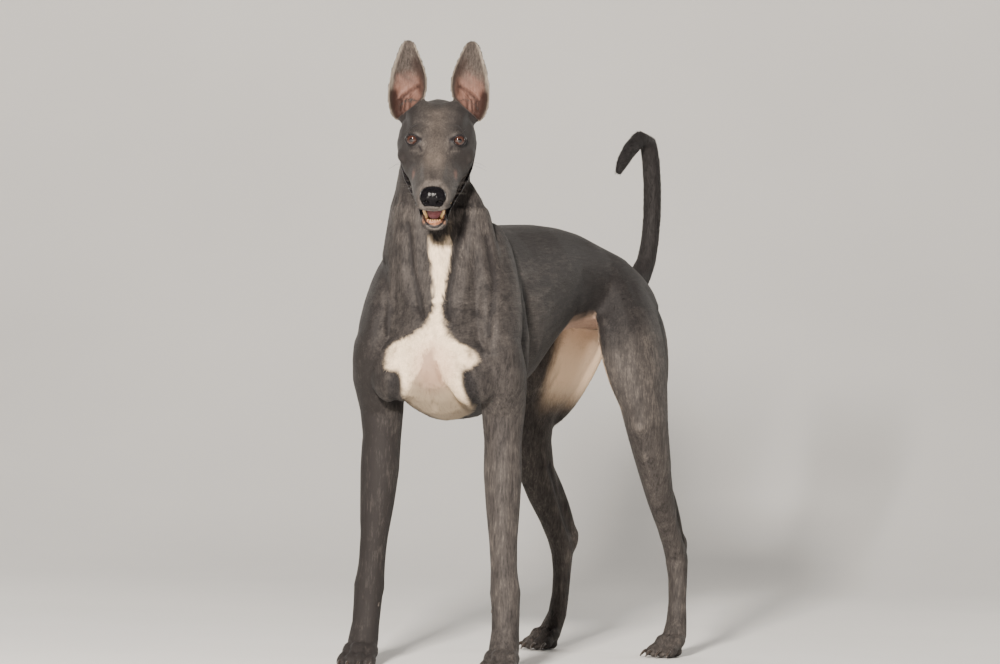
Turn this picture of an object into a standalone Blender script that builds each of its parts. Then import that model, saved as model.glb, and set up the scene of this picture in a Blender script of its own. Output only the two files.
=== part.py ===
"""A standing greyhound at life size, as a still museum model.

The dog faces -Y with its left side at +X, and stands on the floor at z = 0. It is modelled straight, with
both sides alike but for the feet, and one gentle sideways bend of the spine then turns the fore and hind
quarters. The flesh is fused whole from named masses and parted into nodes with thin cuts.
"""

import math

import bmesh
import bpy
import numpy as np
from mathutils import Matrix, Vector

# Driving sizes, in metres and degrees
GAP = 0.0003
VOXEL = 0.0026
RING_SIDES = 28
BODY_FACES, FEET_FACES, HEAD_FACES = 4300, 1700, 3400
SMOOTHING_STEPS = 8

BEND_FRONT_Y, BEND_REAR_Y = -0.30, 0.00
BEND_FRONT_DEG, BEND_REAR_DEG = 20.0, -7.0
FORE_LEG_Y = -0.25
TOE_OUT_DEG = {"fore": {1: 0.0, -1: 0.0}, "hind": {1: 14.0, -1: 16.0}}
TOE_OUT_PIVOT = (0.090, 0.255)

HEAD_PLACE = Vector((0.0010, -0.372, 0.807))
HEAD_PITCH_DEG, HEAD_YAW_DEG, HEAD_ROLL_DEG = 33.0, 7.0, -1.0
JAW_OPEN_DEG = 11.5
JAW_PIVOT = Vector((0.0, 0.055, -0.020))

EYE_RADIUS = 0.0115
EYE_PLACE = Vector((0.0345, 0.000, 0.0195))
EYE_TURN_DEG = 22.0
EYE_OPENING = (0.0098, 0.0066)
LID_TILT = 0.10
EAR_TURN_DEG, EAR_LEAN_DEG, EAR_CURL_DEG = 6.0, 2.0, 72.0
TAIL_CUTS = (1.45, 4.5, 8.3)
COAT_COLOUR = (0.10, 0.10, 0.11)
EYE_COLOUR = (0.20, 0.07, 0.03)
NOSE_COLOUR = (0.015, 0.015, 0.017)
TONGUE_COLOUR = (0.45, 0.16, 0.17)

# How far each foot stands from the plain stance, outward and back, and how far its shin bows outward
FOOT_SHIFT = {
    "fore": {1: (0.008, -0.020, 0.003), -1: (0.002, 0.010, 0.0)},
    "hind": {1: (0.027, 0.018, 0.0), -1: (0.015, -0.020, 0.010)},
}
ANKLE_Z = 0.15
SIDE_NAMES = {1: "left", -1: "right"}

# Places of the joints in the leg tables below, and each toe: sideways, back and how large
WRIST, CALF, HOCK = 8, 7, 11
PAW_TOES = ((-0.0205, 0.008, 0.92), (-0.0075, 0.0, 1.0), (0.0075, 0.0, 1.0), (0.0205, 0.008, 0.92))

# Torso from rear to front: y, top, bottom, half width, height of the widest line, roundness above and below
TORSO = (
    (0.377, 0.590, 0.560, 0.018, 0.575, 2.0, 2.0),
    (0.360, 0.603, 0.540, 0.038, 0.578, 2.0, 2.0),
    (0.325, 0.622, 0.528, 0.054, 0.588, 2.0, 2.0),
    (0.273, 0.648, 0.528, 0.062, 0.596, 2.0, 2.0),
    (0.220, 0.671, 0.530, 0.064, 0.608, 2.0, 2.0),
    (0.165, 0.687, 0.530, 0.064, 0.616, 2.0, 2.0),
    (0.110, 0.695, 0.518, 0.070, 0.612, 2.1, 2.0),
    (0.055, 0.698, 0.480, 0.084, 0.594, 2.2, 1.9),
    (0.000, 0.697, 0.434, 0.095, 0.572, 2.2, 1.9),
    (-0.060, 0.695, 0.402, 0.103, 0.550, 2.2, 1.8),
    (-0.120, 0.697, 0.387, 0.104, 0.540, 2.2, 1.8),
    (-0.180, 0.700, 0.386, 0.102, 0.530, 2.1, 1.8),
    (-0.230, 0.690, 0.390, 0.098, 0.520, 2.0, 1.9),
    (-0.280, 0.655, 0.400, 0.088, 0.505, 2.0, 2.0),
    (-0.320, 0.600, 0.420, 0.070, 0.500, 2.0, 2.0),
    (-0.350, 0.550, 0.442, 0.048, 0.495, 2.0, 2.0),
    (-0.365, 0.520, 0.466, 0.026, 0.493, 2.0, 2.0),
)

# Neck from the skull down: x, y, z, half width, half depth in front, half depth behind
NECK = (
    (-0.014, -0.262, 0.862, 0.030, 0.034, 0.030),
    (-0.015, -0.262, 0.835, 0.044, 0.046, 0.040),
    (-0.017, -0.258, 0.800, 0.054, 0.048, 0.046),
    (-0.022, -0.252, 0.750, 0.059, 0.052, 0.055),
    (-0.024, -0.247, 0.700, 0.065, 0.063, 0.066),
    (-0.020, -0.245, 0.655, 0.078, 0.076, 0.072),
    (-0.012, -0.242, 0.610, 0.092, 0.090, 0.080),
    (-0.004, -0.238, 0.560, 0.096, 0.105, 0.085),
    (0.000, -0.232, 0.510, 0.080, 0.105, 0.080),
)

# Fore leg from the upper arm down, for the left side
FORE_LEG = (
    (0.094, -0.292, 0.510, 0.034, 0.040, 0.050),
    (0.098, -0.268, 0.455, 0.037, 0.040, 0.052),
    (0.096, -0.242, 0.405, 0.032, 0.033, 0.040),
    (0.095, -0.240, 0.360, 0.0275, 0.030, 0.031),
    (0.096, -0.242, 0.310, 0.0280, 0.028, 0.028),
    (0.098, -0.245, 0.255, 0.0245, 0.024, 0.023),
    (0.101, -0.247, 0.205, 0.0200, 0.0195, 0.0190),
    (0.104, -0.247, 0.160, 0.0188, 0.0178, 0.0178),
    (0.107, -0.247, 0.126, 0.0210, 0.0190, 0.0205),
    (0.109, -0.248, 0.098, 0.0200, 0.0172, 0.0180),
    (0.110, -0.251, 0.068, 0.0192, 0.0160, 0.0165),
    (0.111, -0.260, 0.042, 0.0215, 0.0185, 0.0175),
    (0.111, -0.268, 0.022, 0.0205, 0.0185, 0.0185),
)

# Hind leg from the hip down, for the left side
HIND_LEG = (
    (0.045, 0.265, 0.600, 0.036, 0.060, 0.072),
    (0.058, 0.262, 0.555, 0.045, 0.066, 0.082),
    (0.070, 0.256, 0.510, 0.047, 0.066, 0.084),
    (0.081, 0.249, 0.460, 0.044, 0.064, 0.074),
    (0.090, 0.241, 0.415, 0.038, 0.056, 0.060),
    (0.096, 0.236, 0.378, 0.034, 0.047, 0.050),
    (0.098, 0.246, 0.335, 0.0300, 0.038, 0.043),
    (0.098, 0.262, 0.295, 0.0260, 0.032, 0.038),
    (0.098, 0.281, 0.255, 0.0228, 0.028, 0.031),
    (0.098, 0.301, 0.218, 0.0188, 0.0220, 0.0240),
    (0.099, 0.319, 0.186, 0.0188, 0.0200, 0.0220),
    (0.100, 0.330, 0.160, 0.0198, 0.0185, 0.0205),
    (0.101, 0.332, 0.128, 0.0178, 0.0150, 0.0170),
    (0.102, 0.331, 0.090, 0.0170, 0.0140, 0.0150),
    (0.103, 0.327, 0.058, 0.0183, 0.0150, 0.0155),
    (0.104, 0.317, 0.036, 0.0210, 0.0180, 0.0170),
    (0.104, 0.311, 0.022, 0.0200, 0.0180, 0.0180),
)

LEG_TABLES = {"fore": FORE_LEG, "hind": HIND_LEG}

# Level cuts of the legs: kind, height, reach of the cutter to each side
LEG_CUTS = (
    ("fore", 0.352, 0.055),
    ("fore", 0.112, 0.040),
    ("hind", 0.352, 0.085),
    ("hind", 0.146, 0.045),
)

# Tail from the croup to the tip: y, z, radius
TAIL = (
    (0.312, 0.608, 0.030),
    (0.346, 0.600, 0.0250),
    (0.374, 0.614, 0.0200),
    (0.393, 0.640, 0.0172),
    (0.403, 0.675, 0.0162),
    (0.407, 0.720, 0.0160),
    (0.405, 0.765, 0.0160),
    (0.399, 0.805, 0.0160),
    (0.389, 0.836, 0.0156),
    (0.364, 0.843, 0.0148),
    (0.335, 0.824, 0.0136),
    (0.314, 0.802, 0.0116),
    (0.302, 0.782, 0.0074),
)

# Skull and upper jaw from rear to front, in the head's frame: y, top, bottom, half width, height of the
# widest line, roundness above and below
SKULL = (
    (0.132, 0.012, -0.018, 0.018, -0.004, 2.0, 2.0),
    (0.112, 0.022, -0.046, 0.040, -0.006, 2.0, 2.0),
    (0.085, 0.031, -0.062, 0.054, -0.008, 2.1, 2.2),
    (0.055, 0.036, -0.066, 0.061, -0.010, 2.1, 2.4),
    (0.030, 0.035, -0.064, 0.062, -0.014, 2.0, 2.5),
    (0.008, 0.031, -0.058, 0.057, -0.020, 1.9, 2.5),
    (-0.012, 0.027, -0.052, 0.051, -0.026, 1.8, 2.4),
    (-0.030, 0.019, -0.048, 0.043, -0.028, 1.8, 2.3),
    (-0.055, 0.011, -0.045, 0.037, -0.028, 1.9, 2.3),
    (-0.080, 0.008, -0.043, 0.033, -0.025, 2.0, 2.2),
    (-0.102, 0.006, -0.042, 0.0305, -0.022, 2.1, 2.2),
    (-0.117, 0.002, -0.040, 0.0265, -0.020, 2.1, 2.2),
    (-0.126, -0.006, -0.034, 0.0180, -0.020, 2.0, 2.0),
)

# Lower jaw in the same form, shut
JAW = (
    (0.070, -0.030, -0.064, 0.040, -0.046, 2.0, 2.0),
    (0.045, -0.040, -0.073, 0.044, -0.056, 2.2, 2.0),
    (0.012, -0.045, -0.072, 0.040, -0.058, 2.4, 2.0),
    (-0.020, -0.045, -0.068, 0.032, -0.056, 2.6, 2.0),
    (-0.055, -0.042, -0.062, 0.0245, -0.051, 2.8, 2.0),
    (-0.080, -0.041, -0.059, 0.0215, -0.049, 2.8, 2.0),
    (-0.098, -0.041, -0.057, 0.0190, -0.048, 2.6, 2.0),
    (-0.108, -0.043, -0.054, 0.0130, -0.048, 2.2, 2.0),
)

# Ear from the root to the tip: height, outward shift, half width, depth of the cup
EAR_ROOT = Vector((0.0460, 0.088, 0.012))
EAR_WALL = 0.0036
EAR = (
    (-0.012, 0.014, 0.0060, 0.0070),
    (-0.004, 0.013, 0.0140, 0.0130),
    (0.008, 0.009, 0.0220, 0.0190),
    (0.024, 0.003, 0.0295, 0.0230),
    (0.039, 0.001, 0.0305, 0.0200),
    (0.054, 0.000, 0.0290, 0.0160),
    (0.069, 0.000, 0.0255, 0.0120),
    (0.084, 0.000, 0.0200, 0.0085),
    (0.097, 0.000, 0.0135, 0.0055),
    (0.107, 0.000, 0.0080, 0.0035),
    (0.113, 0.000, 0.0025, 0.0020),
)

TONGUE = (
    (0.020, 0.0150, -0.0400),
    (-0.010, 0.0165, -0.0385),
    (-0.045, 0.0150, -0.0370),
    (-0.070, 0.0130, -0.0365),
    (-0.086, 0.0100, -0.0375),
    (-0.093, 0.0050, -0.0390),
)
TONGUE_THICKNESS = 0.0065

# Each lower tooth: foot beside the middle and along the jaw, lean outwards and forwards, height, half thickness
TOOTH_ROOT_Z = -0.0440
TEETH = (
    (0.0138, -0.0905, 0.0026, -0.0020, 0.0120, 0.0024),
    (0.0085, -0.0976, 0.0006, -0.0012, 0.0052, 0.0016),
    (0.0051, -0.0982, 0.0003, -0.0012, 0.0052, 0.0016),
    (0.0017, -0.0985, 0.0000, -0.0012, 0.0052, 0.0016),
)
TOOTH_PROFILE = ((-0.45, 0.9), (0.0, 1.0), (0.5, 0.75), (0.85, 0.42), (1.0, 0.12))
MOUTH = (
    (0.022, 0.020, -0.0450, -0.0500),
    (0.000, 0.060, -0.0440, -0.0480),
    (-0.030, 0.060, -0.0430, -0.0450),
    (-0.060, 0.060, -0.0415, -0.0430),
    (-0.090, 0.060, -0.0400, -0.0425),
    (-0.140, 0.060, -0.0400, -0.0440),
)
NOSE_PLACE = Vector((0.0, -0.1175, -0.0115))
NOSE_SIZE = (0.0198, 0.0120, 0.0160)


def clear_scene():
    for old in list(bpy.data.objects):
        bpy.data.objects.remove(old)


def bend_heading(y):
    """How far the body's axis is turned to the dog's left at y, in radians."""
    share = min(1.0, max(0.0, (y - BEND_FRONT_Y) / (BEND_REAR_Y - BEND_FRONT_Y)))
    return math.radians(BEND_FRONT_DEG + share * (BEND_REAR_DEG - BEND_FRONT_DEG))


def bend_table(steps=200, reach=0.8):
    """Points of the bent axis at even steps of the straight y, with the middle kept in place."""
    ys = np.linspace(-reach, reach, steps * 2 + 1)
    headings = np.array([bend_heading(y) for y in ys])
    step = ys[1] - ys[0]
    xs = np.concatenate([[0], np.cumsum(-np.sin((headings[1:] + headings[:-1]) / 2) * step)])
    back = np.concatenate([[0], np.cumsum(np.cos((headings[1:] + headings[:-1]) / 2) * step)])
    return ys, xs - xs[steps], back - back[steps]


BEND_YS, BEND_XS, BEND_BACK = bend_table()


def bend(point):
    """Where a point of the straight dog lies once its spine is bent."""
    x, y, z = point
    heading = bend_heading(y)
    centre_x = np.interp(y, BEND_YS, BEND_XS)
    centre_y = np.interp(y, BEND_YS, BEND_BACK)
    return Vector((centre_x + x * math.cos(heading), centre_y + x * math.sin(heading), z))


def swing(point):
    """Where a point of a fore leg lies, turned as one piece with the trunk at its own place."""
    x, y, z = point
    heading = bend_heading(FORE_LEG_Y)
    hung = bend((0, FORE_LEG_Y, z))
    back = y - FORE_LEG_Y
    return hung + Vector(
        (x * math.cos(heading) - back * math.sin(heading), x * math.sin(heading) + back * math.cos(heading), 0)
    )


def head_matrix():
    """From the head's own frame, nose towards -Y, to the straight dog's."""
    turn = Matrix.Rotation(math.radians(HEAD_YAW_DEG), 4, "Z")
    nod = Matrix.Rotation(math.radians(HEAD_PITCH_DEG), 4, "X")
    roll = Matrix.Rotation(math.radians(HEAD_ROLL_DEG), 4, "Y")
    return Matrix.Translation(HEAD_PLACE) @ turn @ nod @ roll


def jaw_matrix():
    """From the shut jaw to the open one, in the head's frame."""
    opening = Matrix.Rotation(math.radians(JAW_OPEN_DEG), 4, "X")
    return Matrix.Translation(JAW_PIVOT) @ opening @ Matrix.Translation(-JAW_PIVOT)


def rounded(angle, roundness):
    """Unit superellipse: 2 is round, more is squarer and less is more pointed."""
    cosine, sine = math.cos(angle), math.sin(angle)
    power = 2.0 / roundness
    return (
        math.copysign(abs(cosine) ** power, cosine),
        math.copysign(abs(sine) ** power, sine),
    )


def loft(bm, rings):
    """A closed body through rings of the same number of points, with flat ends."""
    made = [[bm.verts.new(p) for p in ring] for ring in rings]
    sides = len(made[0])
    for first, second in zip(made, made[1:]):
        for i in range(sides):
            j = (i + 1) % sides
            bm.faces.new((first[i], first[j], second[j], second[i]))
    bm.faces.new(list(reversed(made[0])))
    bm.faces.new(made[-1])


def tube(bm, stations, lateral=(1, 0, 0)):
    """A limb, neck or tail through stations of x, y, z, half width, half depth towards tangent x lateral, and
    half depth the other way."""
    centres = [Vector(s[:3]) for s in stations]
    rings = []
    for i, (centre, station) in enumerate(zip(centres, stations)):
        before, after = centres[max(i - 1, 0)], centres[min(i + 1, len(centres) - 1)]
        tangent = (after - before).normalized()
        across = (Vector(lateral) - tangent * tangent.dot(lateral)).normalized()
        fore = tangent.cross(across)
        width, depth_fore, depth_back = station[3:6]
        ring = []
        for k in range(RING_SIDES):
            angle = 2 * math.pi * k / RING_SIDES
            c, s = math.cos(angle), math.sin(angle)
            ring.append(centre + across * width * c + fore * (depth_fore if s > 0 else depth_back) * s)
        rings.append(ring)
    loft(bm, rings)


def muscle(bm, start, end, breadth, depth, outward=(1, 0, 0)):
    """A spindle from origin to insertion, broad along the body's surface and of the given depth outwards."""
    start, end = Vector(start), Vector(end)
    axis = end - start
    long = axis.normalized()
    out = (Vector(outward) - long * long.dot(outward)).normalized()
    side = long.cross(out)
    frame = Matrix((side * breadth, out * depth, long * axis.length / 2)).transposed().to_4x4()
    frame.translation = (start + end) / 2
    bmesh.ops.create_icosphere(bm, subdivisions=3, radius=1.0, matrix=frame)


def mirrored(side, point):
    return Vector((point[0] * side, point[1], point[2]))


def build_torso(bm):
    rings = []
    for y, top, bottom, width, widest, round_up, round_down in TORSO:
        ring = []
        for k in range(RING_SIDES):
            angle = 2 * math.pi * k / RING_SIDES
            x, z = rounded(angle, round_up if math.sin(angle) > 0 else round_down)
            ring.append((x * width, y, widest + z * ((top - widest) if z > 0 else (widest - bottom))))
        rings.append(ring)
    loft(bm, rings)


def build_trunk_muscles(bm, side):
    def strap(start, end, breadth, depth, outward=(1, 0, 0)):
        muscle(bm, mirrored(side, start), mirrored(side, end), breadth, depth, mirrored(side, outward))

    def thigh_strap(start, end, breadth, depth, outward):
        muscle(bm, mirrored(side, start), leg_point(end, side, "hind"), breadth, depth, mirrored(side, outward))

    # Loin and back, shoulder blade, upper arm, breast and throat
    strap((0.030, -0.18, 0.672), (0.030, 0.30, 0.636), 0.028, 0.024, (0.3, 0, 1))
    strap((0.054, -0.178, 0.702), (0.104, -0.315, 0.470), 0.056, 0.038, (1, -0.3, 0.2))
    strap((0.072, -0.150, 0.630), (0.104, -0.225, 0.395), 0.046, 0.034)
    strap((0.094, -0.315, 0.540), (0.102, -0.222, 0.400), 0.044, 0.036)
    strap((0.012, -0.335, 0.520), (0.085, -0.300, 0.425), 0.042, 0.034, (0.3, -1, 0))
    strap((0.030, -0.256, 0.765), (0.090, -0.292, 0.490), 0.034, 0.022, (0.8, -1, 0))
    # Rump and thigh
    strap((0.022, 0.175, 0.655), (0.068, 0.330, 0.555), 0.048, 0.030, (1, 0, 0.7))
    thigh_strap((0.046, 0.340, 0.575), (0.098, 0.250, 0.385), 0.044, 0.030, (1, 0.3, 0))
    thigh_strap((0.052, 0.200, 0.580), (0.096, 0.215, 0.375), 0.036, 0.030, (1, -0.4, 0))
    thigh_strap((0.034, 0.350, 0.565), (0.092, 0.282, 0.365), 0.026, 0.026, (0.3, 1, 0))


def leg_point(point, side, kind):
    """Where a point of the plain left leg lies on the given side: turned out about the hip, and the foot moved out
    and back, with the joints above moved less."""
    out, back, bow = FOOT_SHIFT[kind][side]
    turn = math.radians(TOE_OUT_DEG[kind][side])
    top = LEG_TABLES[kind][0][2]
    pivot_x, pivot_y = TOE_OUT_PIVOT
    along = point[1] - pivot_y
    across = point[0] - pivot_x
    turned_x = pivot_x + across * math.cos(turn) - along * math.sin(turn)
    turned_y = pivot_y + across * math.sin(turn) + along * math.cos(turn)
    down = min(1.0, max(0.0, (top - point[2]) / (top - ANKLE_Z)))
    share = down ** 1.5
    outward = out * share + bow * math.sin(math.pi * down)
    return Vector(((turned_x + outward) * side, turned_y + back * share, point[2]))


def foot_shifted(side, kind):
    """The stations of one leg as it stands."""
    return [(*leg_point(station[:3], side, kind), *station[3:]) for station in LEG_TABLES[kind]]


def build_leg(bm, side, kind):
    stations = foot_shifted(side, kind)
    turn = math.radians(TOE_OUT_DEG[kind][side])
    tube(bm, stations, (math.cos(turn), side * math.sin(turn), 0))
    build_paw(bm, Vector(stations[-1][:3]))
    if kind == "fore":
        wrist = Vector(stations[WRIST][:3])
        muscle(bm, wrist + Vector((0, 0.012, 0.012)), wrist + Vector((0, 0.022, -0.016)), 0.009, 0.009)
        return
    # Point of the hock, and the tendon that runs up from it to the calf
    behind = Vector((-side * math.sin(turn), math.cos(turn), 0))
    hock = Vector(stations[HOCK][:3]) + behind * 0.006
    calf = Vector(stations[CALF][:3]) + behind * 0.026
    heel = hock + behind * 0.026
    muscle(bm, hock + Vector((0, 0, -0.016)), heel + Vector((0, 0, 0.040)), 0.0122, 0.0122)
    muscle(bm, calf + Vector((0, 0, 0.02)), heel + Vector((0, 0, 0.018)), 0.0120, 0.0090)


def build_paw(bm, ankle):
    """Four toes, knuckle and tip, round a heel pad."""
    base = Vector((ankle.x, ankle.y - 0.006, 0.0))
    muscle(bm, base + Vector((0, 0.020, 0.009)), base + Vector((0, -0.014, 0.009)), 0.019, 0.012, (0, 0, 1))
    for spread, ahead, size in PAW_TOES:
        knuckle = base + Vector((spread * 0.85, -0.012 + ahead, 0.023))
        tip = base + Vector((spread * 1.12, -0.040 + ahead, 0.0060))
        shank = (knuckle + Vector((0, 0.018, 0.006)), knuckle + Vector((0, -0.018, -0.003)))
        end = (knuckle + Vector((0, -0.004, -0.004)), tip + Vector((0, -0.010, -0.001)))
        muscle(bm, *shank, 0.0092 * size, 0.0125 * size, (0, 0, 1))
        muscle(bm, *end, 0.0088 * size, 0.0112 * size, (0, 0, 1))


def build_tail(bm):
    tube(bm, [(0.0, y, z, r, r, r) for y, z, r in TAIL])


def mesh_object(name, bm, collection):
    mesh = bpy.data.meshes.new(name)
    bm.to_mesh(mesh)
    bm.free()
    made = bpy.data.objects.new(name, mesh)
    collection.objects.link(made)
    return made


def evaluated_mesh(obj):
    """The object's mesh with its modifiers applied, as a new mesh."""
    bpy.context.view_layer.update()
    graph = bpy.context.evaluated_depsgraph_get()
    return bpy.data.meshes.new_from_object(obj.evaluated_get(graph))


def apply_all(obj):
    mesh = evaluated_mesh(obj)
    obj.modifiers.clear()
    obj.data = mesh


def fuse(obj):
    """One skin over all the overlapping masses of the object."""
    remesh = obj.modifiers.new("Fuse", "REMESH")
    remesh.mode = "VOXEL"
    remesh.voxel_size = VOXEL
    remesh.adaptivity = 0.0
    apply_all(obj)
    smooth = obj.modifiers.new("Soften", "SMOOTH")
    smooth.factor = 0.5
    smooth.iterations = SMOOTHING_STEPS
    apply_all(obj)


def section_loft(bm, stations, place):
    """A body of superellipse sections square to its length, placed by a matrix."""
    rings = []
    for y, top, bottom, width, widest, round_up, round_down in stations:
        ring = []
        for k in range(RING_SIDES):
            angle = 2 * math.pi * k / RING_SIDES
            x, z = rounded(angle, round_up if math.sin(angle) > 0 else round_down)
            high = z * ((top - widest) if z > 0 else (widest - bottom))
            ring.append(place @ Vector((x * width, y, widest + high)))
        rings.append(ring)
    loft(bm, rings)


def build_head_mass(bm):
    """Skull, jaws, cheeks, brows and the swell of the lids and of each ear's root, before anything is cut."""
    place = head_matrix()
    jaw = place @ jaw_matrix()
    section_loft(bm, SKULL, place)
    section_loft(bm, JAW, jaw)

    def mass(centre, size, turn=0.0, frame=place):
        for side in (1, -1):
            local = Matrix.Translation(mirrored(side, centre))
            local = local @ Matrix.Rotation(math.radians(turn * side), 4, "Z") @ Matrix.Diagonal((*size, 1.0))
            bmesh.ops.create_icosphere(bm, subdivisions=3, radius=1.0, matrix=frame @ local)

    # Cheek, cheekbone, brow, lips, bridge of the muzzle, crown, ear root
    mass((0.034, 0.050, -0.040), (0.024, 0.034, 0.032))
    mass((0.045, 0.020, -0.014), (0.015, 0.034, 0.012), 12)
    mass((0.029, 0.010, 0.027), (0.014, 0.020, 0.008), 20)
    mass((0.021, -0.074, -0.034), (0.013, 0.040, 0.012), -8)
    mass((0.014, -0.100, -0.030), (0.014, 0.018, 0.014))
    mass((0.010, -0.060, 0.004), (0.010, 0.055, 0.008), -3)
    mass((0.022, 0.062, 0.021), (0.028, 0.040, 0.018))
    mass((0.046, 0.092, 0.012), (0.020, 0.020, 0.022))
    mass((0.012, -0.088, -0.056), (0.010, 0.020, 0.008), -5, jaw)
    for side in (1, -1):
        centre = place @ mirrored(side, EYE_PLACE)
        lids = Matrix.Translation(centre)
        bmesh.ops.create_icosphere(bm, subdivisions=3, radius=EYE_RADIUS + 0.0024, matrix=lids)


def build_flesh(collection):
    """The whole animal in one skin, without ears, eyes, nose and tongue."""
    bm = bmesh.new()
    for side in (1, -1):
        build_leg(bm, side, "fore")
    for vert in bm.verts:
        vert.co = swing(vert.co)
        vert.tag = True
    build_torso(bm)
    tube(bm, NECK)
    build_tail(bm)
    for side in (1, -1):
        build_trunk_muscles(bm, side)
        build_leg(bm, side, "hind")
    build_head_mass(bm)
    for vert in bm.verts:
        if not vert.tag:
            vert.co = bend(vert.co)
    flesh = mesh_object("flesh", bm, collection)
    fuse(flesh)
    thin_out(flesh)
    return flesh


def thin_out(flesh):
    """Fewer faces: first on the body, then on the feet, then on the head, each with the rest left alone."""
    eyes = bend(head_matrix() @ Vector((0, -0.030, -0.010)))

    def in_head(co):
        return (co - eyes).length < 0.135

    def in_feet(co):
        return co.z < 0.075 and not in_head(co)

    def in_body(co):
        return not in_head(co) and not in_feet(co)

    for inside, wanted in ((in_body, BODY_FACES), (in_feet, FEET_FACES), (in_head, HEAD_FACES)):
        group = flesh.vertex_groups.new(name="thin")
        mesh = flesh.data
        held = 0
        chosen = [inside(vert.co) for vert in mesh.vertices]
        for face in mesh.polygons:
            if not chosen[face.vertices[0]]:
                held += len(face.vertices) - 2
        group.add([i for i, flag in enumerate(chosen) if flag], 1.0, "REPLACE")
        total = sum(len(face.vertices) - 2 for face in mesh.polygons)
        thin = flesh.modifiers.new("Thin", "DECIMATE")
        thin.ratio = (held + wanted) / total
        thin.vertex_group = "thin"
        thin.vertex_group_factor = 1000.0
        apply_all(flesh)
        flesh.vertex_groups.clear()


def ear_frame(side):
    """The ear's own frame: X outward, Y back from the cup, Z up to the tip, straight up in the dog's frame."""
    root = head_matrix() @ mirrored(side, EAR_ROOT)
    turn = Matrix.Rotation(math.radians(HEAD_YAW_DEG + EAR_TURN_DEG * side), 4, "Z")
    lean = Matrix.Rotation(math.radians(EAR_LEAN_DEG * side), 4, "Y")
    return Matrix.Translation(root) @ turn @ lean


def ear_arc(side, height, shift, width, cup, offset, steps=8):
    """Points across the ear at one height, moved out from the cup's middle surface by the offset."""
    half = math.radians(EAR_CURL_DEG)
    radius_share = 1 - math.cos(half)
    points = []
    for k in range(steps + 1):
        angle = half * (2 * k / steps - 1)
        wide = width + offset
        deep = cup + offset
        x = side * shift + wide * math.sin(angle) / math.sin(half)
        y = deep * (math.cos(angle) - math.cos(half)) / radius_share
        points.append(Vector((x, y, height)))
    return points


def build_ear(bm, side, swell=0.0):
    """A cupped leaf. The swell makes a larger one that clears the first by that much all round."""
    frame = ear_frame(side)
    rings = []
    last = len(EAR) - 1
    for i, (height, shift, width, cup) in enumerate(EAR):
        rim = min(EAR_WALL / 2, width * 0.6)
        level = height - (swell if i == 0 else 0) + (swell if i == last else 0)
        outer = ear_arc(side, level, shift, width, cup, rim + swell)
        inner = ear_arc(side, level, shift, width, cup, -rim - swell)
        inner = [p + Vector((0, -swell * 0.5, 0)) for p in inner]
        rings.append([bend(frame @ p) for p in outer + inner[::-1]])
    loft(bm, rings)


def build_ball(bm, side, radius):
    centre = bend(head_matrix() @ mirrored(side, EYE_PLACE))
    bmesh.ops.create_icosphere(bm, subdivisions=3, radius=radius, matrix=Matrix.Translation(centre))


def build_lid_opening(bm, side):
    """An almond-shaped plug out of the eye's middle through the lids."""
    gaze = Matrix.Rotation(math.radians(EYE_TURN_DEG * side), 4, "Z")
    frame = head_matrix() @ Matrix.Translation(mirrored(side, EYE_PLACE)) @ gaze
    half_width, half_height = EYE_OPENING
    rings = []
    for reach, spread in ((0.004, 0.5), (0.0105, 1.0), (0.024, 1.7)):
        ring = []
        for k in range(20):
            angle = 2 * math.pi * k / 20
            c, s = math.cos(angle), math.sin(angle)
            almond = s * (1 - 0.35 * c * c)
            high = half_height * spread * (almond + LID_TILT * side * c)
            ring.append(bend(frame @ Vector((half_width * spread * c, -reach, high))))
        rings.append(ring)
    loft(bm, rings)


def build_nose(bm, swell=0.0):
    """The nose pad, wide above and narrower at the lip, as a body partly sunk in the muzzle."""
    place = head_matrix()
    width, depth, height = (v + swell for v in NOSE_SIZE)
    sphere = bmesh.ops.create_icosphere(bm, subdivisions=3, radius=1.0)
    for vert in sphere["verts"]:
        x, y, z = vert.co
        narrow = 1 - 0.22 * max(0.0, -z)
        full = 1.0 / max(1e-6, (abs(x) ** 2.6 + abs(y) ** 2.2 + abs(z) ** 2.4) ** (1 / 2.4))
        local = Vector((x * width * narrow * full, y * depth * full, z * height * full))
        local.y += 0.18 * local.z
        vert.co = bend(place @ (NOSE_PLACE + local))


def build_nostrils(bm):
    place = head_matrix()
    for side in (1, -1):
        local = Matrix.Translation(NOSE_PLACE + mirrored(side, (0.0088, -0.0098, -0.0022)))
        local = local @ Matrix.Rotation(math.radians(35 * side), 4, "Y")
        local = local @ Matrix.Diagonal((0.0046, 0.0060, 0.0030, 1.0))
        made = bmesh.ops.create_icosphere(bm, subdivisions=2, radius=1.0, matrix=place @ local)
        for vert in made["verts"]:
            vert.co = bend(vert.co)


def build_mouth(bm):
    """The hollow between the jaws: a wedge from the lips back to the corners of the mouth."""
    place = head_matrix()
    jaw = place @ jaw_matrix()
    rings = []
    for y, half, roof, floor in MOUTH:
        upper = [place @ Vector((half * x, y, roof - 0.004 * abs(x) ** 3)) for x in (-1, -0.6, 0, 0.6, 1)]
        lower = [jaw @ Vector((half * x, y, floor + 0.002 * abs(x) ** 3)) for x in (1, 0.6, 0, -0.6, -1)]
        rings.append([bend(p) for p in upper + lower])
    loft(bm, rings)


def build_tongue(bm, swell=0.0):
    jaw = head_matrix() @ jaw_matrix()
    rings = []
    last = len(TONGUE) - 1
    for i, (y, half, top) in enumerate(TONGUE):
        ends = -swell if i == last else (swell if i == 0 else 0.0)
        ring = []
        for k in range(14):
            angle = 2 * math.pi * k / 14
            x, z = rounded(angle, 2.6)
            groove = -0.0012 * (1 - abs(x)) if z > 0 else 0.0
            high = z * (TONGUE_THICKNESS / 2 + swell) + groove
            ring.append(
                bend(jaw @ Vector((x * (half + swell), y + ends, top - TONGUE_THICKNESS / 2 + high)))
            )
        rings.append(ring)
    loft(bm, rings)


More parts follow.
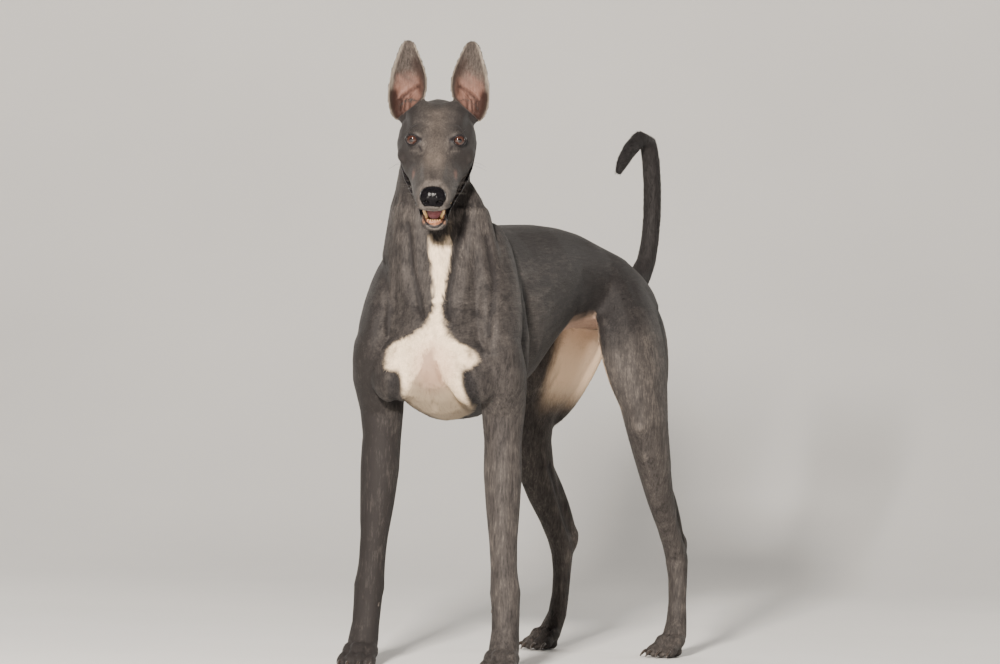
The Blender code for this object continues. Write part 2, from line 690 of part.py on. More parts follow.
def build_tooth(bm, side, tooth):
    """One tooth of the lower jaw, with its root sunk in it."""
    jaw = head_matrix() @ jaw_matrix()
    across, along, lean_out, lean_ahead, tall, thick = tooth
    foot = Vector((across * side, along, TOOTH_ROOT_Z))
    tip = foot + Vector((lean_out * side, lean_ahead, tall))
    rings = []
    for share, slim in TOOTH_PROFILE:
        centre = foot.lerp(tip, share)
        ring = []
        for k in range(8):
            angle = 2 * math.pi * k / 8
            offset = Vector((math.cos(angle), math.sin(angle), 0)) * thick * slim
            ring.append(bend(jaw @ (centre + offset)))
        rings.append(ring)
    loft(bm, rings)


def slab(bm, centre, normal, reach, turn=(1, 0, 0)):
    """A thin flat cutter: centre and normal in the straight dog's frame, reach to each side of the centre."""
    centre, normal = Vector(centre), Vector(normal).normalized()
    across = (Vector(turn) - normal * normal.dot(turn)).normalized()
    along = normal.cross(across)
    corners = []
    spin = Matrix.Rotation(bend_heading(centre.y), 3, "Z")
    middle = bend(centre)
    for height in (-0.5, 0.5):
        ring = []
        for u, v in ((-1, -1), (1, -1), (1, 1), (-1, 1)):
            offset = across * u * reach[0] + along * v * reach[1] + normal * height * GAP
            ring.append(middle + spin @ offset)
        corners.append(ring)
    loft(bm, corners)


def build_jaw_cut(bm):
    place = head_matrix()
    corner = place @ Vector((0, 0.030, -0.072))
    slab(bm, corner, place.to_3x3() @ Vector((0, 0.62, 0.78)), (0.075, 0.045))


def build_nape_cut(bm):
    slab(bm, (0, -0.266, 0.792), (0, 0.81, -0.58), (0.095, 0.105))


def build_cuts(bm):
    """Every cut across the trunk, tail and legs."""
    slab(bm, (0, -0.262, 0.640), (0, -0.50, 0.87), (0.120, 0.135))
    for share in TAIL_CUTS:
        index = int(share)
        low, high = TAIL[index], TAIL[index + 1]
        y, z, radius = [a + (b - a) * (share - index) for a, b in zip(low, high)]
        reach = radius * 2 + 0.012
        slab(bm, (0, y, z), (0, high[0] - low[0], high[1] - low[1]), (reach, reach))
    for side in (1, -1):
        slab(bm, (0.088 * side, -0.255, 0.452), (-0.80 * side, 0.12, 0.60), (0.150, 0.105), (0, 1, 0))
        slab(bm, (0.078 * side, 0.260, 0.520), (-0.62 * side, -0.10, 0.78), (0.150, 0.110), (0, 1, 0))
        for kind, height, reach in LEG_CUTS:
            stations = foot_shifted(side, kind)
            upper = min((s for s in stations if s[2] >= height), key=lambda s: s[2])
            lower = max((s for s in stations if s[2] < height), key=lambda s: s[2])
            share = (height - lower[2]) / (upper[2] - lower[2])
            slab(bm, Vector(lower[:3]).lerp(Vector(upper[:3]), share), (0, 0, 1), (reach, reach))


def subtract(target, cutters):
    """Take each cutter's volume out of the target, then drop the cutter."""
    for cutter in cutters:
        cut = target.modifiers.new("Cut", "BOOLEAN")
        cut.operation = "DIFFERENCE"
        cut.solver = "EXACT"
        cut.object = cutter
        apply_all(target)
        bpy.data.objects.remove(cutter)


def tool(build, *args, **kwargs):
    """A cutter object from one of the builders above."""
    bm = bmesh.new()
    build(bm, *args, **kwargs)
    bmesh.ops.recalc_face_normals(bm, faces=bm.faces)
    cutters = bpy.data.collections.get("cutters")
    made = mesh_object("cutter", bm, cutters)
    made.display_type = "WIRE"
    made.hide_render = True
    return made


def floor_block(bm):
    below = Matrix.Translation((0, 0, -0.25)) @ Matrix.Diagonal((2, 2, 0.5, 1))
    bmesh.ops.create_cube(bm, size=1.0, matrix=below)


def islands(mesh):
    """The connected pieces of a mesh, each as its own bmesh, largest first."""
    source = bmesh.new()
    source.from_mesh(mesh)
    bmesh.ops.triangulate(source, faces=source.faces)
    seen, groups = set(), []
    for start in source.verts:
        if start in seen:
            continue
        group, stack = [], [start]
        seen.add(start)
        while stack:
            vert = stack.pop()
            group.append(vert)
            for edge in vert.link_edges:
                other = edge.other_vert(vert)
                if other not in seen:
                    seen.add(other)
                    stack.append(other)
        groups.append(group)
    pieces = []
    for group in groups:
        piece = bmesh.new()
        faces = {face for vert in group for face in vert.link_faces}
        corners_of = {}
        for face in sorted(faces, key=lambda f: f.index):
            corners_of.setdefault(frozenset(face.verts), []).append(face)
        copies = {}
        for twins in corners_of.values():
            # Two faces on the same corners are a flat pocket left by a cut, and both go
            if len(twins) > 1:
                continue
            for vert in twins[0].verts:
                if vert not in copies:
                    copies[vert] = piece.verts.new(vert.co)
            piece.faces.new([copies[vert] for vert in twins[0].verts])
        pieces.append(piece)
    source.free()
    return sorted(pieces, key=lambda piece: -abs(piece.calc_volume(signed=True)))


def centroid(piece):
    total, centre = 0.0, Vector()
    for face in piece.faces:
        area = face.calc_area()
        total += area
        centre += face.calc_center_median() * area
    return centre / total


def node_anchors():
    """Where each flesh node's middle lies, in the bent dog's frame."""
    place = head_matrix()
    anchors = {
        "head": place @ Vector((0, 0.020, -0.010)),
        "lower_jaw": place @ jaw_matrix() @ Vector((0, -0.050, -0.060)),
        "neck": Vector((0, -0.280, 0.740)),
        "torso": Vector((0, 0.010, 0.570)),
        "tail_base": Vector((0, TAIL[2][0] + 0.008, TAIL[2][1] + 0.012)),
        "tail_middle": Vector((0, TAIL[6][0], TAIL[6][1])),
        "tail_tip": Vector((0, TAIL[10][0], TAIL[10][1])),
    }
    for side in (1, -1):
        word = SIDE_NAMES[side]
        fore = foot_shifted(side, "fore")
        hind = foot_shifted(side, "hind")
        anchors["upper_arm_" + word] = Vector((0.100 * side, -0.255, 0.420))
        anchors["forearm_" + word] = Vector(fore[5][:3])
        anchors["forepaw_" + word] = Vector(fore[10][:3])
        anchors["thigh_" + word] = Vector((0.090 * side, 0.240, 0.460))
        anchors["lower_leg_" + word] = Vector(hind[8][:3])
        anchors["hind_paw_" + word] = Vector(hind[13][:3])
    return {name: bend(point) for name, point in anchors.items()}


def node_object(name, bm, collection, colour):
    mesh = bpy.data.meshes.new(name)
    bmesh.ops.recalc_face_normals(bm, faces=bm.faces)
    bm.to_mesh(mesh)
    bm.free()
    made = bpy.data.objects.new(name, mesh)
    collection.objects.link(made)
    paint = bpy.data.materials.new(name)
    paint.use_nodes = True
    shader = paint.node_tree.nodes["Principled BSDF"]
    shader.inputs["Base Color"].default_value = (*colour, 1.0)
    shader.inputs["Roughness"].default_value = 0.6
    mesh.materials.append(paint)
    return made


def part_flesh(flesh, collection):
    """Name each loose piece of the cut flesh by the anchor nearest its middle."""
    anchors = node_anchors()
    taken = {}
    for piece in islands(flesh.data):
        middle = centroid(piece)
        name = min(anchors, key=lambda n: (anchors[n] - middle).length)
        if name in taken:
            piece.free()
            continue
        taken[name] = piece
    bpy.data.objects.remove(flesh)
    for name, piece in taken.items():
        node_object(name, piece, collection, COAT_COLOUR)


def add_teeth(jaw):
    """Fuse the lower teeth to the jaw."""
    teeth = bpy.data.collections.new("teeth")
    bpy.context.scene.collection.children.link(teeth)
    for side in (1, -1):
        for tooth in TEETH:
            bm = bmesh.new()
            build_tooth(bm, side, tooth)
            bmesh.ops.recalc_face_normals(bm, faces=bm.faces)
            mesh_object("tooth", bm, teeth)
    join = jaw.modifiers.new("Teeth", "BOOLEAN")
    join.operation = "UNION"
    join.solver = "EXACT"
    join.operand_type = "COLLECTION"
    join.collection = teeth
    apply_all(jaw)
    for made in list(teeth.objects):
        bpy.data.objects.remove(made)
    bpy.data.collections.remove(teeth)


def small_node(name, collection, colour, build, *args):
    bm = bmesh.new()
    build(bm, *args)
    bmesh.ops.triangulate(bm, faces=bm.faces)
    return node_object(name, bm, collection, colour)


def build_small_nodes(collection):
    """Eyes, ears, nose and tongue, and the teeth fused to the lower jaw."""
    for side in (1, -1):
        small_node("eye_" + SIDE_NAMES[side], collection, EYE_COLOUR, build_ball, side, EYE_RADIUS)
        small_node("ear_" + SIDE_NAMES[side], collection, COAT_COLOUR, build_ear, side)
    nose = small_node("nose", collection, NOSE_COLOUR, build_nose)
    subtract(nose, [tool(build_nostrils)])
    small_node("tongue", collection, TONGUE_COLOUR, build_tongue)
    add_teeth(collection.objects["lower_jaw"])


def settle(collection):
    """Move the whole so that the origin is under the middle of its box, with the floor where it was."""
    low, high = Vector((9, 9, 9)), Vector((-9, -9, -9))
    for made in collection.objects:
        for vert in made.data.vertices:
            low = Vector(map(min, low, vert.co))
            high = Vector(map(max, high, vert.co))
    move = Matrix.Translation((-(low.x + high.x) / 2, -(low.y + high.y) / 2, 0))
    for made in collection.objects:
        made.data.transform(move)


def main():
    clear_scene()
    dog = bpy.data.collections.new("greyhound")
    cutters = bpy.data.collections.new("cutters")
    for made in (dog, cutters):
        bpy.context.scene.collection.children.link(made)
    cutters.hide_render = True
    flesh = build_flesh(dog)
    hollows = [tool(build_mouth), tool(build_tongue, swell=GAP), tool(build_nose, swell=GAP)]
    hollows.append(tool(floor_block))
    for side in (1, -1):
        hollows.append(tool(build_ball, side, EYE_RADIUS + GAP))
        hollows.append(tool(build_lid_opening, side))
        hollows.append(tool(build_ear, side, swell=GAP))
    for build in (build_jaw_cut, build_nape_cut, build_cuts):
        hollows.append(tool(build))
    subtract(flesh, hollows)
    part_flesh(flesh, dog)
    build_small_nodes(dog)
    settle(dog)


main()
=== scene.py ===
"""A grey greyhound as a life-size museum model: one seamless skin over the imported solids, with glass eyes, a
moist nose, an open mouth, claws, whiskers and a short coat of solid tufts.

Sizes are in metres. Places on the body are given on the plain dog, straight and even on both sides, and
placed() carries them to where they lie once its spine is bent and its feet are set.
"""

import math

import bmesh
import bpy
import numpy as np
from bpy.props import FloatProperty, FloatVectorProperty, IntProperty, PointerProperty
from mathutils import Matrix, Vector, kdtree
from mathutils.bvhtree import BVHTree


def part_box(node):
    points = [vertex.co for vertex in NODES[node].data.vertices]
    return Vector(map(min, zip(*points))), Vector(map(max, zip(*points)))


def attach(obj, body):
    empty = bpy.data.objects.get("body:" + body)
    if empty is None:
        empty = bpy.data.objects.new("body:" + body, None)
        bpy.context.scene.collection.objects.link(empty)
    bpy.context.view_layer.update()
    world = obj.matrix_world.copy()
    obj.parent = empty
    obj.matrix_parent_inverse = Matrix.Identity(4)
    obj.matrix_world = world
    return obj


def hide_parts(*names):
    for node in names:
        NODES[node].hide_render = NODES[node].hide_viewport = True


bl_info = {
    "name": "Greyhound model",
    "version": (1, 0, 0),
    "blender": (4, 5, 0),
    "location": "3D View > Sidebar > Greyhound",
    "description": "Skin, coat, face and feet of a life-size greyhound",
    "category": "Object",
}

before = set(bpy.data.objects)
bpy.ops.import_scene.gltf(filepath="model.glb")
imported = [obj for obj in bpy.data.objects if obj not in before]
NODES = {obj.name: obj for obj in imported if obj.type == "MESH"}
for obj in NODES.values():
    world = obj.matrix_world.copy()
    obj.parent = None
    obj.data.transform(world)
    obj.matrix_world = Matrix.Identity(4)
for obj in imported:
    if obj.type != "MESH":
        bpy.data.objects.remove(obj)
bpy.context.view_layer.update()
SIDES = {"left": 1, "right": -1}
PAIRS = ("ear", "upper_arm", "forearm", "forepaw", "thigh", "lower_leg", "hind_paw")
FLESH = ["head", "lower_jaw", "neck", "torso", "tail_base", "tail_middle", "tail_tip"]
FLESH += [name + "_" + word for name in PAIRS for word in SIDES]


def metres(values):
    """Numbers given in millimetres, nested as deep as need be."""
    return tuple(metres(v) for v in values) if isinstance(values, tuple) else round(values / 1000, 7)



# How the plain dog is bent and its feet set
BEND_FRONT_Y, BEND_REAR_Y = -0.3, 0.0
BEND_FRONT_DEG, BEND_REAR_DEG = 20.0, -7.0
FORE_LEG_Y = -0.25
TOE_OUT_DEG = {"fore": {1: 0.0, -1: 0.0}, "hind": {1: 14.0, -1: 16.0}}
TOE_OUT_PIVOT = (0.09, 0.255)
FOOT_SHIFT = {
    "fore": {1: (0.008, -0.02, 0.003), -1: (0.002, 0.01, 0.0)},
    "hind": {1: (0.027, 0.018, 0.0), -1: (0.015, -0.02, 0.01)},
}
ANKLE_Z = 0.15
LEG_TOP = {"fore": 0.51, "hind": 0.6}
HEAD_PLACE = Vector((0.001, -0.372, 0.807))
HEAD_PITCH_DEG, HEAD_YAW_DEG, HEAD_ROLL_DEG = 33.0, 7.0, -1.0
NECK_TURN_DEG = BEND_FRONT_DEG + HEAD_YAW_DEG
JAW_OPEN_DEG = 11.5
JAW_PIVOT = Vector((0.0, 0.055, -0.02))
EYE_PLACE = Vector((0.0345, 0.0, 0.0195))
NOSE_PLACE = Vector((0.0, -0.1175, -0.0115))
EAR_ROOT = Vector((0.046, 0.088, 0.012))
EAR_TURN_DEG, EAR_LEAN_DEG = 6.0, 2.0

# Leg axes on the plain dog: x, y, z
LEG_AXES = {"fore": np.array(metres((
    (94, -292, 510), (98, -268, 455), (96, -242, 405), (95, -240, 360), (96, -242, 310), (98, -245, 255),
    (101, -247, 205), (104, -247, 160), (107, -247, 126), (109, -248, 98), (110, -251, 68), (111, -260, 42),
    (111, -268, 22),
))), "hind": np.array(metres((
    (45, 265, 600), (58, 262, 555), (70, 256, 510), (81, 249, 460), (90, 241, 415), (96, 236, 378),
    (98, 246, 335), (98, 262, 295), (98, 281, 255), (98, 301, 218), (99, 319, 186), (100, 330, 160),
    (101, 332, 128), (102, 331, 90), (103, 327, 58), (104, 317, 36), (104, 311, 22),
)))}


def rotation(degrees, axis, size=3):
    return Matrix.Rotation(math.radians(degrees), size, axis)


def box_middle(node):
    low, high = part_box(node)
    return (low + high) / 2


def turned(x, y, heading):
    """A level vector turned by a heading."""
    return x * np.cos(heading) - y * np.sin(heading), x * np.sin(heading) + y * np.cos(heading)


def bend_heading(y):
    share = min(1.0, max(0.0, (y - BEND_FRONT_Y) / (BEND_REAR_Y - BEND_FRONT_Y)))
    return math.radians(BEND_FRONT_DEG + share * (BEND_REAR_DEG - BEND_FRONT_DEG))


def bend_table(steps=200, reach=0.8):
    ys = np.linspace(-reach, reach, steps * 2 + 1)
    headings = np.array([bend_heading(y) for y in ys])
    half = (headings[1:] + headings[:-1]) / 2
    step = ys[1] - ys[0]
    xs = np.concatenate([[0], np.cumsum(-np.sin(half) * step)])
    back = np.concatenate([[0], np.cumsum(np.cos(half) * step)])
    return ys, xs - xs[steps], back - back[steps]


BEND_YS, BEND_XS, BEND_BACK = bend_table()


def bend(point):
    """Where a point of the plain dog lies once its spine is bent, before the whole is centred."""
    x, y, z = point
    heading = bend_heading(y)
    centre_x = np.interp(y, BEND_YS, BEND_XS)
    centre_y = np.interp(y, BEND_YS, BEND_BACK)
    return Vector((centre_x + x * math.cos(heading), centre_y + x * math.sin(heading), z))


def plain_head_matrix():
    turn = rotation(HEAD_YAW_DEG, "Z", 4) @ rotation(HEAD_PITCH_DEG, "X", 4) @ rotation(HEAD_ROLL_DEG, "Y", 4)
    return Matrix.Translation(HEAD_PLACE) @ turn


EYES = {1: box_middle("eye_left"), -1: box_middle("eye_right")}
SETTLED = EYES[1] - bend(plain_head_matrix() @ EYE_PLACE)
HEAD_TURN = rotation(NECK_TURN_DEG, "Z") @ rotation(HEAD_PITCH_DEG, "X") @ rotation(HEAD_ROLL_DEG, "Y")
HEAD_ORIGIN = (EYES[1] + EYES[-1]) / 2 - HEAD_TURN @ Vector((0, EYE_PLACE.y, EYE_PLACE.z))
JAW_SWING = Matrix.Translation(JAW_PIVOT) @ rotation(JAW_OPEN_DEG, "X", 4) @ Matrix.Translation(-JAW_PIVOT)


def on_head(point):
    """A point of the head's own frame, nose towards -Y, in the shared frame."""
    return HEAD_ORIGIN + HEAD_TURN @ Vector(point)


def on_head_side(point, side):
    """A point of the head's left side, on the given side."""
    x, y, z = point
    return on_head((x * side, y, z))


def on_jaw(point):
    return on_head(JAW_SWING @ Vector(point))


HEAD_AXES = np.array(HEAD_TURN)
NOSE_MIDDLE = np.array(on_head(NOSE_PLACE))


def in_head(points):
    """Where points lie in the head's own frame."""
    return (points - np.array(HEAD_ORIGIN)) @ HEAD_AXES


def in_jaw(local):
    """Points of the head's frame in the shut jaw's frame."""
    swing = np.array(JAW_SWING)
    return (local - swing[:3, 3]) @ swing[:3, :3]


def leg_shifted(point, side, kind):
    """Where a point of the plain left leg lies on the plain dog's given side, once its foot is set."""
    x, y, z = point
    out, back, bow = FOOT_SHIFT[kind][side]
    turn = math.radians(TOE_OUT_DEG[kind][side])
    pivot_x, pivot_y = TOE_OUT_PIVOT
    along, across = y - pivot_y, x - pivot_x
    turned_x = pivot_x + across * math.cos(turn) - along * math.sin(turn)
    turned_y = pivot_y + across * math.sin(turn) + along * math.cos(turn)
    down = min(1.0, max(0.0, (LEG_TOP[kind] - z) / (LEG_TOP[kind] - ANKLE_Z)))
    outward = out * down ** 1.5 + bow * math.sin(math.pi * down)
    return Vector(((turned_x + outward) * side, turned_y + back * down ** 1.5, z))


def leg_bent(shifted, kind):
    """Hind legs bend with the spine, and fore legs turn stiffly with the chest."""
    if kind == "hind":
        return bend(shifted) + SETTLED
    heading = bend_heading(FORE_LEG_Y)
    x, y, z = shifted
    return bend((0, FORE_LEG_Y, z)) + Vector((*turned(x, y - FORE_LEG_Y, heading), 0)) + SETTLED


def placed(point, side=1, kind="body"):
    """A point of the plain dog's left side, on the given side of the bent dog; legs go with their feet."""
    if kind == "body":
        x, y, z = point
        return bend((x * side, y, z)) + SETTLED
    return leg_bent(leg_shifted(point, side, kind), kind)


def on_paw(offset, side, kind):
    """A point of a paw: outward from the middle of its ankle, back, and up from the floor."""
    axis = LEG_AXES[kind]
    ankle = leg_shifted(axis[-1], side, kind)
    return leg_bent((ankle.x + offset[0] * side, ankle.y + offset[1], offset[2]), kind)


def leg_line(kind, side, offsets):
    """Points beside a leg's axis: outward and back from it, at each height."""
    axis = LEG_AXES[kind]
    points = []
    for outward, behind, z in offsets:
        x = np.interp(z, axis[::-1, 2], axis[::-1, 0])
        y = np.interp(z, axis[::-1, 2], axis[::-1, 1])
        points.append(placed((x + outward, y + behind, z), side, kind))
    return points


def sizes(rows):
    """The length of each row of three numbers."""
    return np.linalg.norm(rows, axis=1)


def ramp(value, low, high):
    """0 below the low end, and 1 above the high one, with soft ends."""
    share = np.clip((value - low) / (high - low), 0, 1)
    return share * share * (3 - 2 * share)


def fall(value, low, high):
    """1 below the low end, and 0 above the high one."""
    return 1 - ramp(value, low, high)


def greatest(fields):
    return np.maximum.reduce(fields)


def bell(distance, reach):
    """1 at no distance, falling away over the reach."""
    return np.exp(-((distance / reach) ** 2))


def near_line(points, line):
    """The distance of each point from a line of corners."""
    line = [np.array(corner) for corner in line]
    if len(line) == 1:
        return sizes(points - line[0])
    best = np.full(len(points), 9.0)
    for start, end in zip(line, line[1:]):
        along = end - start
        share = np.clip((points - start) @ along / (along @ along), 0, 1)
        best = np.minimum(best, sizes(points - start - share[:, None] * along))
    return best


def streak(points, line, reach):
    """1 on a line of corners, falling away over the reach."""
    return bell(near_line(points, line), reach)


def mirrored(local):
    """Points with both sides laid on the left one."""
    return np.abs(local) * (1, 0, 0) + local * (0, 1, 1)


def in_scene(name, data):
    made = bpy.data.objects.new(name, data)
    bpy.context.scene.collection.objects.link(made)
    return made


def link(mesh, name, material):
    """A finished mesh as a piece that rides on the one body."""
    mesh.materials.clear()
    mesh.materials.append(material)
    mesh.shade_smooth()
    made = in_scene(name, mesh)
    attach(made, "root")
    return made


def mesh_from(bm, name):
    mesh = bpy.data.meshes.new(name)
    bm.to_mesh(mesh)
    bm.free()
    return mesh


WEIGHTED = "weighted"


def with_modifiers(mesh, *steps, weights=None):
    """The mesh after modifiers, each a kind and its settings, with any weights kept in tenths as a group."""
    held = in_scene("held", mesh)
    if weights is not None:
        held.vertex_groups.clear()
        group = held.vertex_groups.new(name=WEIGHTED)
        tenths = np.round(weights * 10)
        for tenth in range(1, 11):
            group.add([int(i) for i in np.flatnonzero(tenths == tenth)], tenth / 10, "REPLACE")
    for kind, settings in steps:
        modifier = held.modifiers.new(kind, kind)
        for name, value in settings.items():
            setattr(modifier, name, value)
    bpy.context.view_layer.update()
    graph = bpy.context.evaluated_depsgraph_get()
    result = bpy.data.meshes.new_from_object(held.evaluated_get(graph))
    bpy.data.objects.remove(held)
    return result


def coordinates(mesh, kind="co"):
    values = np.zeros(len(mesh.vertices) * 3, np.float32)
    mesh.vertices.foreach_get(kind, values)
    return values.reshape(-1, 3).astype(float)


def set_coordinates(mesh, values):
    mesh.vertices.foreach_set("co", values.astype(np.float32).ravel())
    mesh.update()


def normals(mesh):
    return coordinates(mesh, "normal")


def whole_numbers(items, name, size=1):
    values = np.zeros(len(items) * size, np.int32)
    items.foreach_get(name, values)
    return values.reshape(-1, size) if size > 1 else values


def set_attribute(mesh, name, values):
    """A number or three per vertex, kept for the materials."""
    kind = "FLOAT" if values.ndim == 1 else "FLOAT_VECTOR"
    layer = mesh.attributes.new(name, kind, "POINT")
    layer.data.foreach_set("value" if kind == "FLOAT" else "vector", values.astype(np.float32).ravel())


# The skin's mesh and fields, kept for the coat and whiskers
SKIN = {}

# Depth of the coat over the skin, how far the copied solids are grown to close their cuts, and mesh sizes
COAT_DEPTH = 0.001
SEAM_FILL = 0.00035
SKIN_VOXEL = 0.0015
KEPT_TRIS = {"body": 55000, "feet": 16000, "chest": 16000, "head": 66000}
SKIN_SMOOTHING, BODY_SMOOTHING = 7, 70
# Nape and withers are softened further; a filler closes the thin web before each hock's tendon
SOFT_SPOTS = (((-0.014, -0.213, 0.853), 0.06), ((-0.034, -0.15, 0.702), 0.12))
SPOT_SMOOTHING = 45
# Reach of the finer faces round the lids, in two steps, and in the ears; the skin's least height
FINER_LIDS, FINER_EARS, FLOOR_GAP = (0.017, 0.013), 0.024, 0.0004
HOCK_WEB, HOCK_WEB_RADIUS = (0.0, 0.026, 0.192), 0.0055

EYE_RADIUS = 0.0115
CORNEA_BULGE = 0.0012
IRIS_DEG = 44.0
ORBIT_TURN_DEG, ORBIT_LIFT_DEG = 20.0, 16.0
LID_HALF_WIDTH, LID_HALF_HEIGHT = 0.0093, 0.0072
LID_TILT = 0.15
LID_THICK = 0.0013
# How far behind the ball's front the skin lies in the eye opening, and how near the eye the lids are shaped
EYE_SINK, LID_REACH = 0.0016, 0.024
NOSE_SIZE = (0.0198, 0.012, 0.016)
# Share by which the skin under the nose pad is drawn in, and how far from the pad's middle that is looked for
NOSE_SINK, NOSE_REACH = 0.26, 0.034


def voxels(size):
    """The modifier that makes one closed surface of what overlaps."""
    return "REMESH", {"mode": "VOXEL", "voxel_size": size, "adaptivity": 0.0}


def joined_solids(names, grow):
    """Copies of CAD nodes in one mesh, each grown a little so that neighbours overlap."""
    joined = bmesh.new()
    for name in names:
        copy = bmesh.new()
        copy.from_mesh(NODES[name].data)
        bmesh.ops.remove_doubles(copy, verts=copy.verts, dist=1e-5)
        copy.normal_update()
        for vert in copy.verts:
            vert.co += vert.normal * grow
        held = mesh_from(copy, "held")
        joined.from_mesh(held)
        bpy.data.meshes.remove(held)
    return joined


# Where the finer faces of the head and of the chest end: distances from their middles
HEAD_EDGE, CHEST_EDGE = (0.128, 0.15), (0.085, 0.115)


def head_share(points):
    """1 on the head and ears and 0 behind the nape."""
    near = fall(sizes(points - np.array(on_head((0, 0, -0.01)))), *HEAD_EDGE)
    ears = ramp(points[:, 2], 0.855, 0.865) * (points[:, 1] < 0)
    return np.maximum(near, ears)


def chest_share(points):
    chest = np.array(placed((0, -0.34, 0.52)))
    return fall(sizes((points - chest) * (1, 1, 0.55)), *CHEST_EDGE)


def thinned(mesh):
    """Fewer faces, with more of them kept on the head, chest and feet."""

    def regions(points):
        head = head_share(points) > 0.5
        feet = (points[:, 2] < 0.085) & ~head
        chest = (chest_share(points) > 0.5) & ~head & ~feet
        return {"head": head, "feet": feet, "chest": chest, "body": ~(head | feet | chest)}

    for region, wanted in KEPT_TRIS.items():
        inside = regions(coordinates(mesh))[region]
        starts = whole_numbers(mesh.polygons, "loop_start")
        tris = whole_numbers(mesh.polygons, "loop_total") - 2
        corners = whole_numbers(mesh.loops, "vertex_index")
        held = tris[~inside[corners[starts]]].sum()
        ratio = float(held + wanted) / float(tris.sum())
        settings = {"ratio": ratio, "vertex_group": WEIGHTED, "vertex_group_factor": 1000.0}
        mesh = with_modifiers(mesh, ("DECIMATE", settings), weights=inside.astype(float))
    return mesh


def softened(mesh, weights, steps):
    """The mesh smoothed by steps, as strongly as the weights say."""
    settings = {"factor": 0.5, "iterations": steps, "vertex_group": WEIGHTED}
    return with_modifiers(mesh, ("SMOOTH", settings), weights=weights)


def finer_near(mesh, places, reach):
    """Each face near the places split in four."""
    bm = bmesh.new()
    bm.from_mesh(mesh)
    spots = [Vector(place) for place in places]
    edges = set()
    for face in bm.faces:
        middle = face.calc_center_median()
        if min((middle - spot).length for spot in spots) < reach:
            edges.update(face.edges)
    bmesh.ops.subdivide_edges(bm, edges=list(edges), cuts=1, use_grid_fill=True)
    bmesh.ops.triangulate(bm, faces=bm.faces)
    bm.to_mesh(mesh)
    bm.free()
    return mesh


def orbit_turn(side):
    """The eye opening's own turn, its outlook towards -Y."""
    return HEAD_TURN @ rotation(ORBIT_TURN_DEG * side, "Z") @ rotation(-ORBIT_LIFT_DEG, "X")


def lid_measure(local):
    """1 on the rim of the opening, less inside it: an almond a little lower at its inner corner."""
    across = local[:, 0]
    up = local[:, 2] + LID_TILT * across
    share = np.clip(across / LID_HALF_WIDTH, -1.6, 1.6)
    high = LID_HALF_HEIGHT * np.clip(1 - 0.24 * share ** 2, 0.25, 1)
    low = LID_HALF_HEIGHT * 0.9 * np.clip(1 - 0.34 * share ** 2, 0.22, 1)
    return np.sqrt(share ** 2 + (up / np.where(up > 0, high, low)) ** 2)


def shape_lids(points):
    """Raise the lids over each eyeball and sink the skin behind its opening."""
    dark = np.zeros(len(points))
    for side in (1, -1):
        turn = np.array(orbit_turn(side))
        centre = np.array(EYES[side])
        local = (points - centre) @ turn
        reach = sizes(local)
        near = (reach < LID_REACH) & (local[:, 1] < 0.004)
        local = local[near]
        reach = reach[near]
        outward = local / reach[:, None]
        measured = outward * EYE_RADIUS
        measured[:, 0] *= side
        rim = lid_measure(measured)
        facing = np.clip(-outward[:, 1], -1, 1)
        swell = CORNEA_BULGE * ramp(facing, 0.7, 0.95)
        lid = EYE_RADIUS + swell + LID_THICK
        sunk = EYE_RADIUS - EYE_SINK
        raised = np.maximum(reach, lid)
        fade = ramp(rim, 1.55, 2.2)
        raised = raised * (1 - fade) + reach * fade
        # Crease above the upper lid and below the lower one
        crease = bell(rim - 1.62, 0.14) * np.where(local[:, 2] > 0, 0.0011, 0.0007)
        raised -= crease
        inside = fall(rim, 0.93, 1.04)
        target = raised * (1 - inside) + sunk * inside
        points[near] = centre + (outward * target[:, None]) @ turn.T
        lined = fall(rim, 1.16, 1.36) * fall(reach, 0.015, 0.0172)
        dark[near] = np.maximum(dark[near], lined)
    return dark


def nose_measure(local):
    """1 on the nose pad's surface, in its own frame."""
    upright = local.copy()
    upright[:, 1] -= 0.18 * local[:, 2]
    narrow = 1 - 0.22 * np.clip(-local[:, 2] / NOSE_SIZE[2], 0, 1)
    x = np.abs(upright[:, 0]) / (NOSE_SIZE[0] * narrow)
    y = np.abs(upright[:, 1]) / NOSE_SIZE[1]
    z = np.abs(upright[:, 2]) / NOSE_SIZE[2]
    return (x ** 2.6 + y ** 2.2 + z ** 2.4) ** (1 / 2.4)


def sink_under_nose(points):
    """Skin under the nose pad lies well below it, with a soft edge round it."""
    local = (points - NOSE_MIDDLE) @ HEAD_AXES
    near = sizes(local) < NOSE_REACH
    measured = nose_measure(local[near])
    under = fall(measured, 1.02, 1.12)
    pull = 1 - NOSE_SINK * under
    points[near] = NOSE_MIDDLE + (local[near] * pull[:, None]) @ HEAD_AXES.T


# The camera stands in front of the dog's left shoulder, as far off as the picture's flat view asks
CAMERA_FROM_EYES = Vector((4.386184, -8.021101, -0.123352))
CAMERA_AZIMUTH_DEG, CAMERA_DIP_DEG, CAMERA_ROLL_DEG = 28.0, 1.06, 1.7
CAMERA_LENS, CAMERA_SENSOR = 214.776, 36.0
FRAME_WIDTH, FRAME_HEIGHT = 1000, 664

# The white blaze as the camera sees it: height in the frame, left edge, right edge
BLAZE = np.array(
    [
        (216, 434, 448), (224, 430, 451), (246, 428, 451), (262, 431, 449), (277, 433, 446),
        (292, 433.5, 443), (307, 433.5, 441.5), (316, 431, 442), (322, 428, 443), (330, 420, 446),
        (338, 408, 450), (342, 396, 456), (346, 391, 466), (354, 388, 476), (361, 386, 478), (368, 386, 470),
        (373, 399, 463), (386, 402, 462), (399, 406, 467), (405, 412, 471), (412, 423, 472), (419, 438, 468),
        (424, 452, 460),
    ]
)
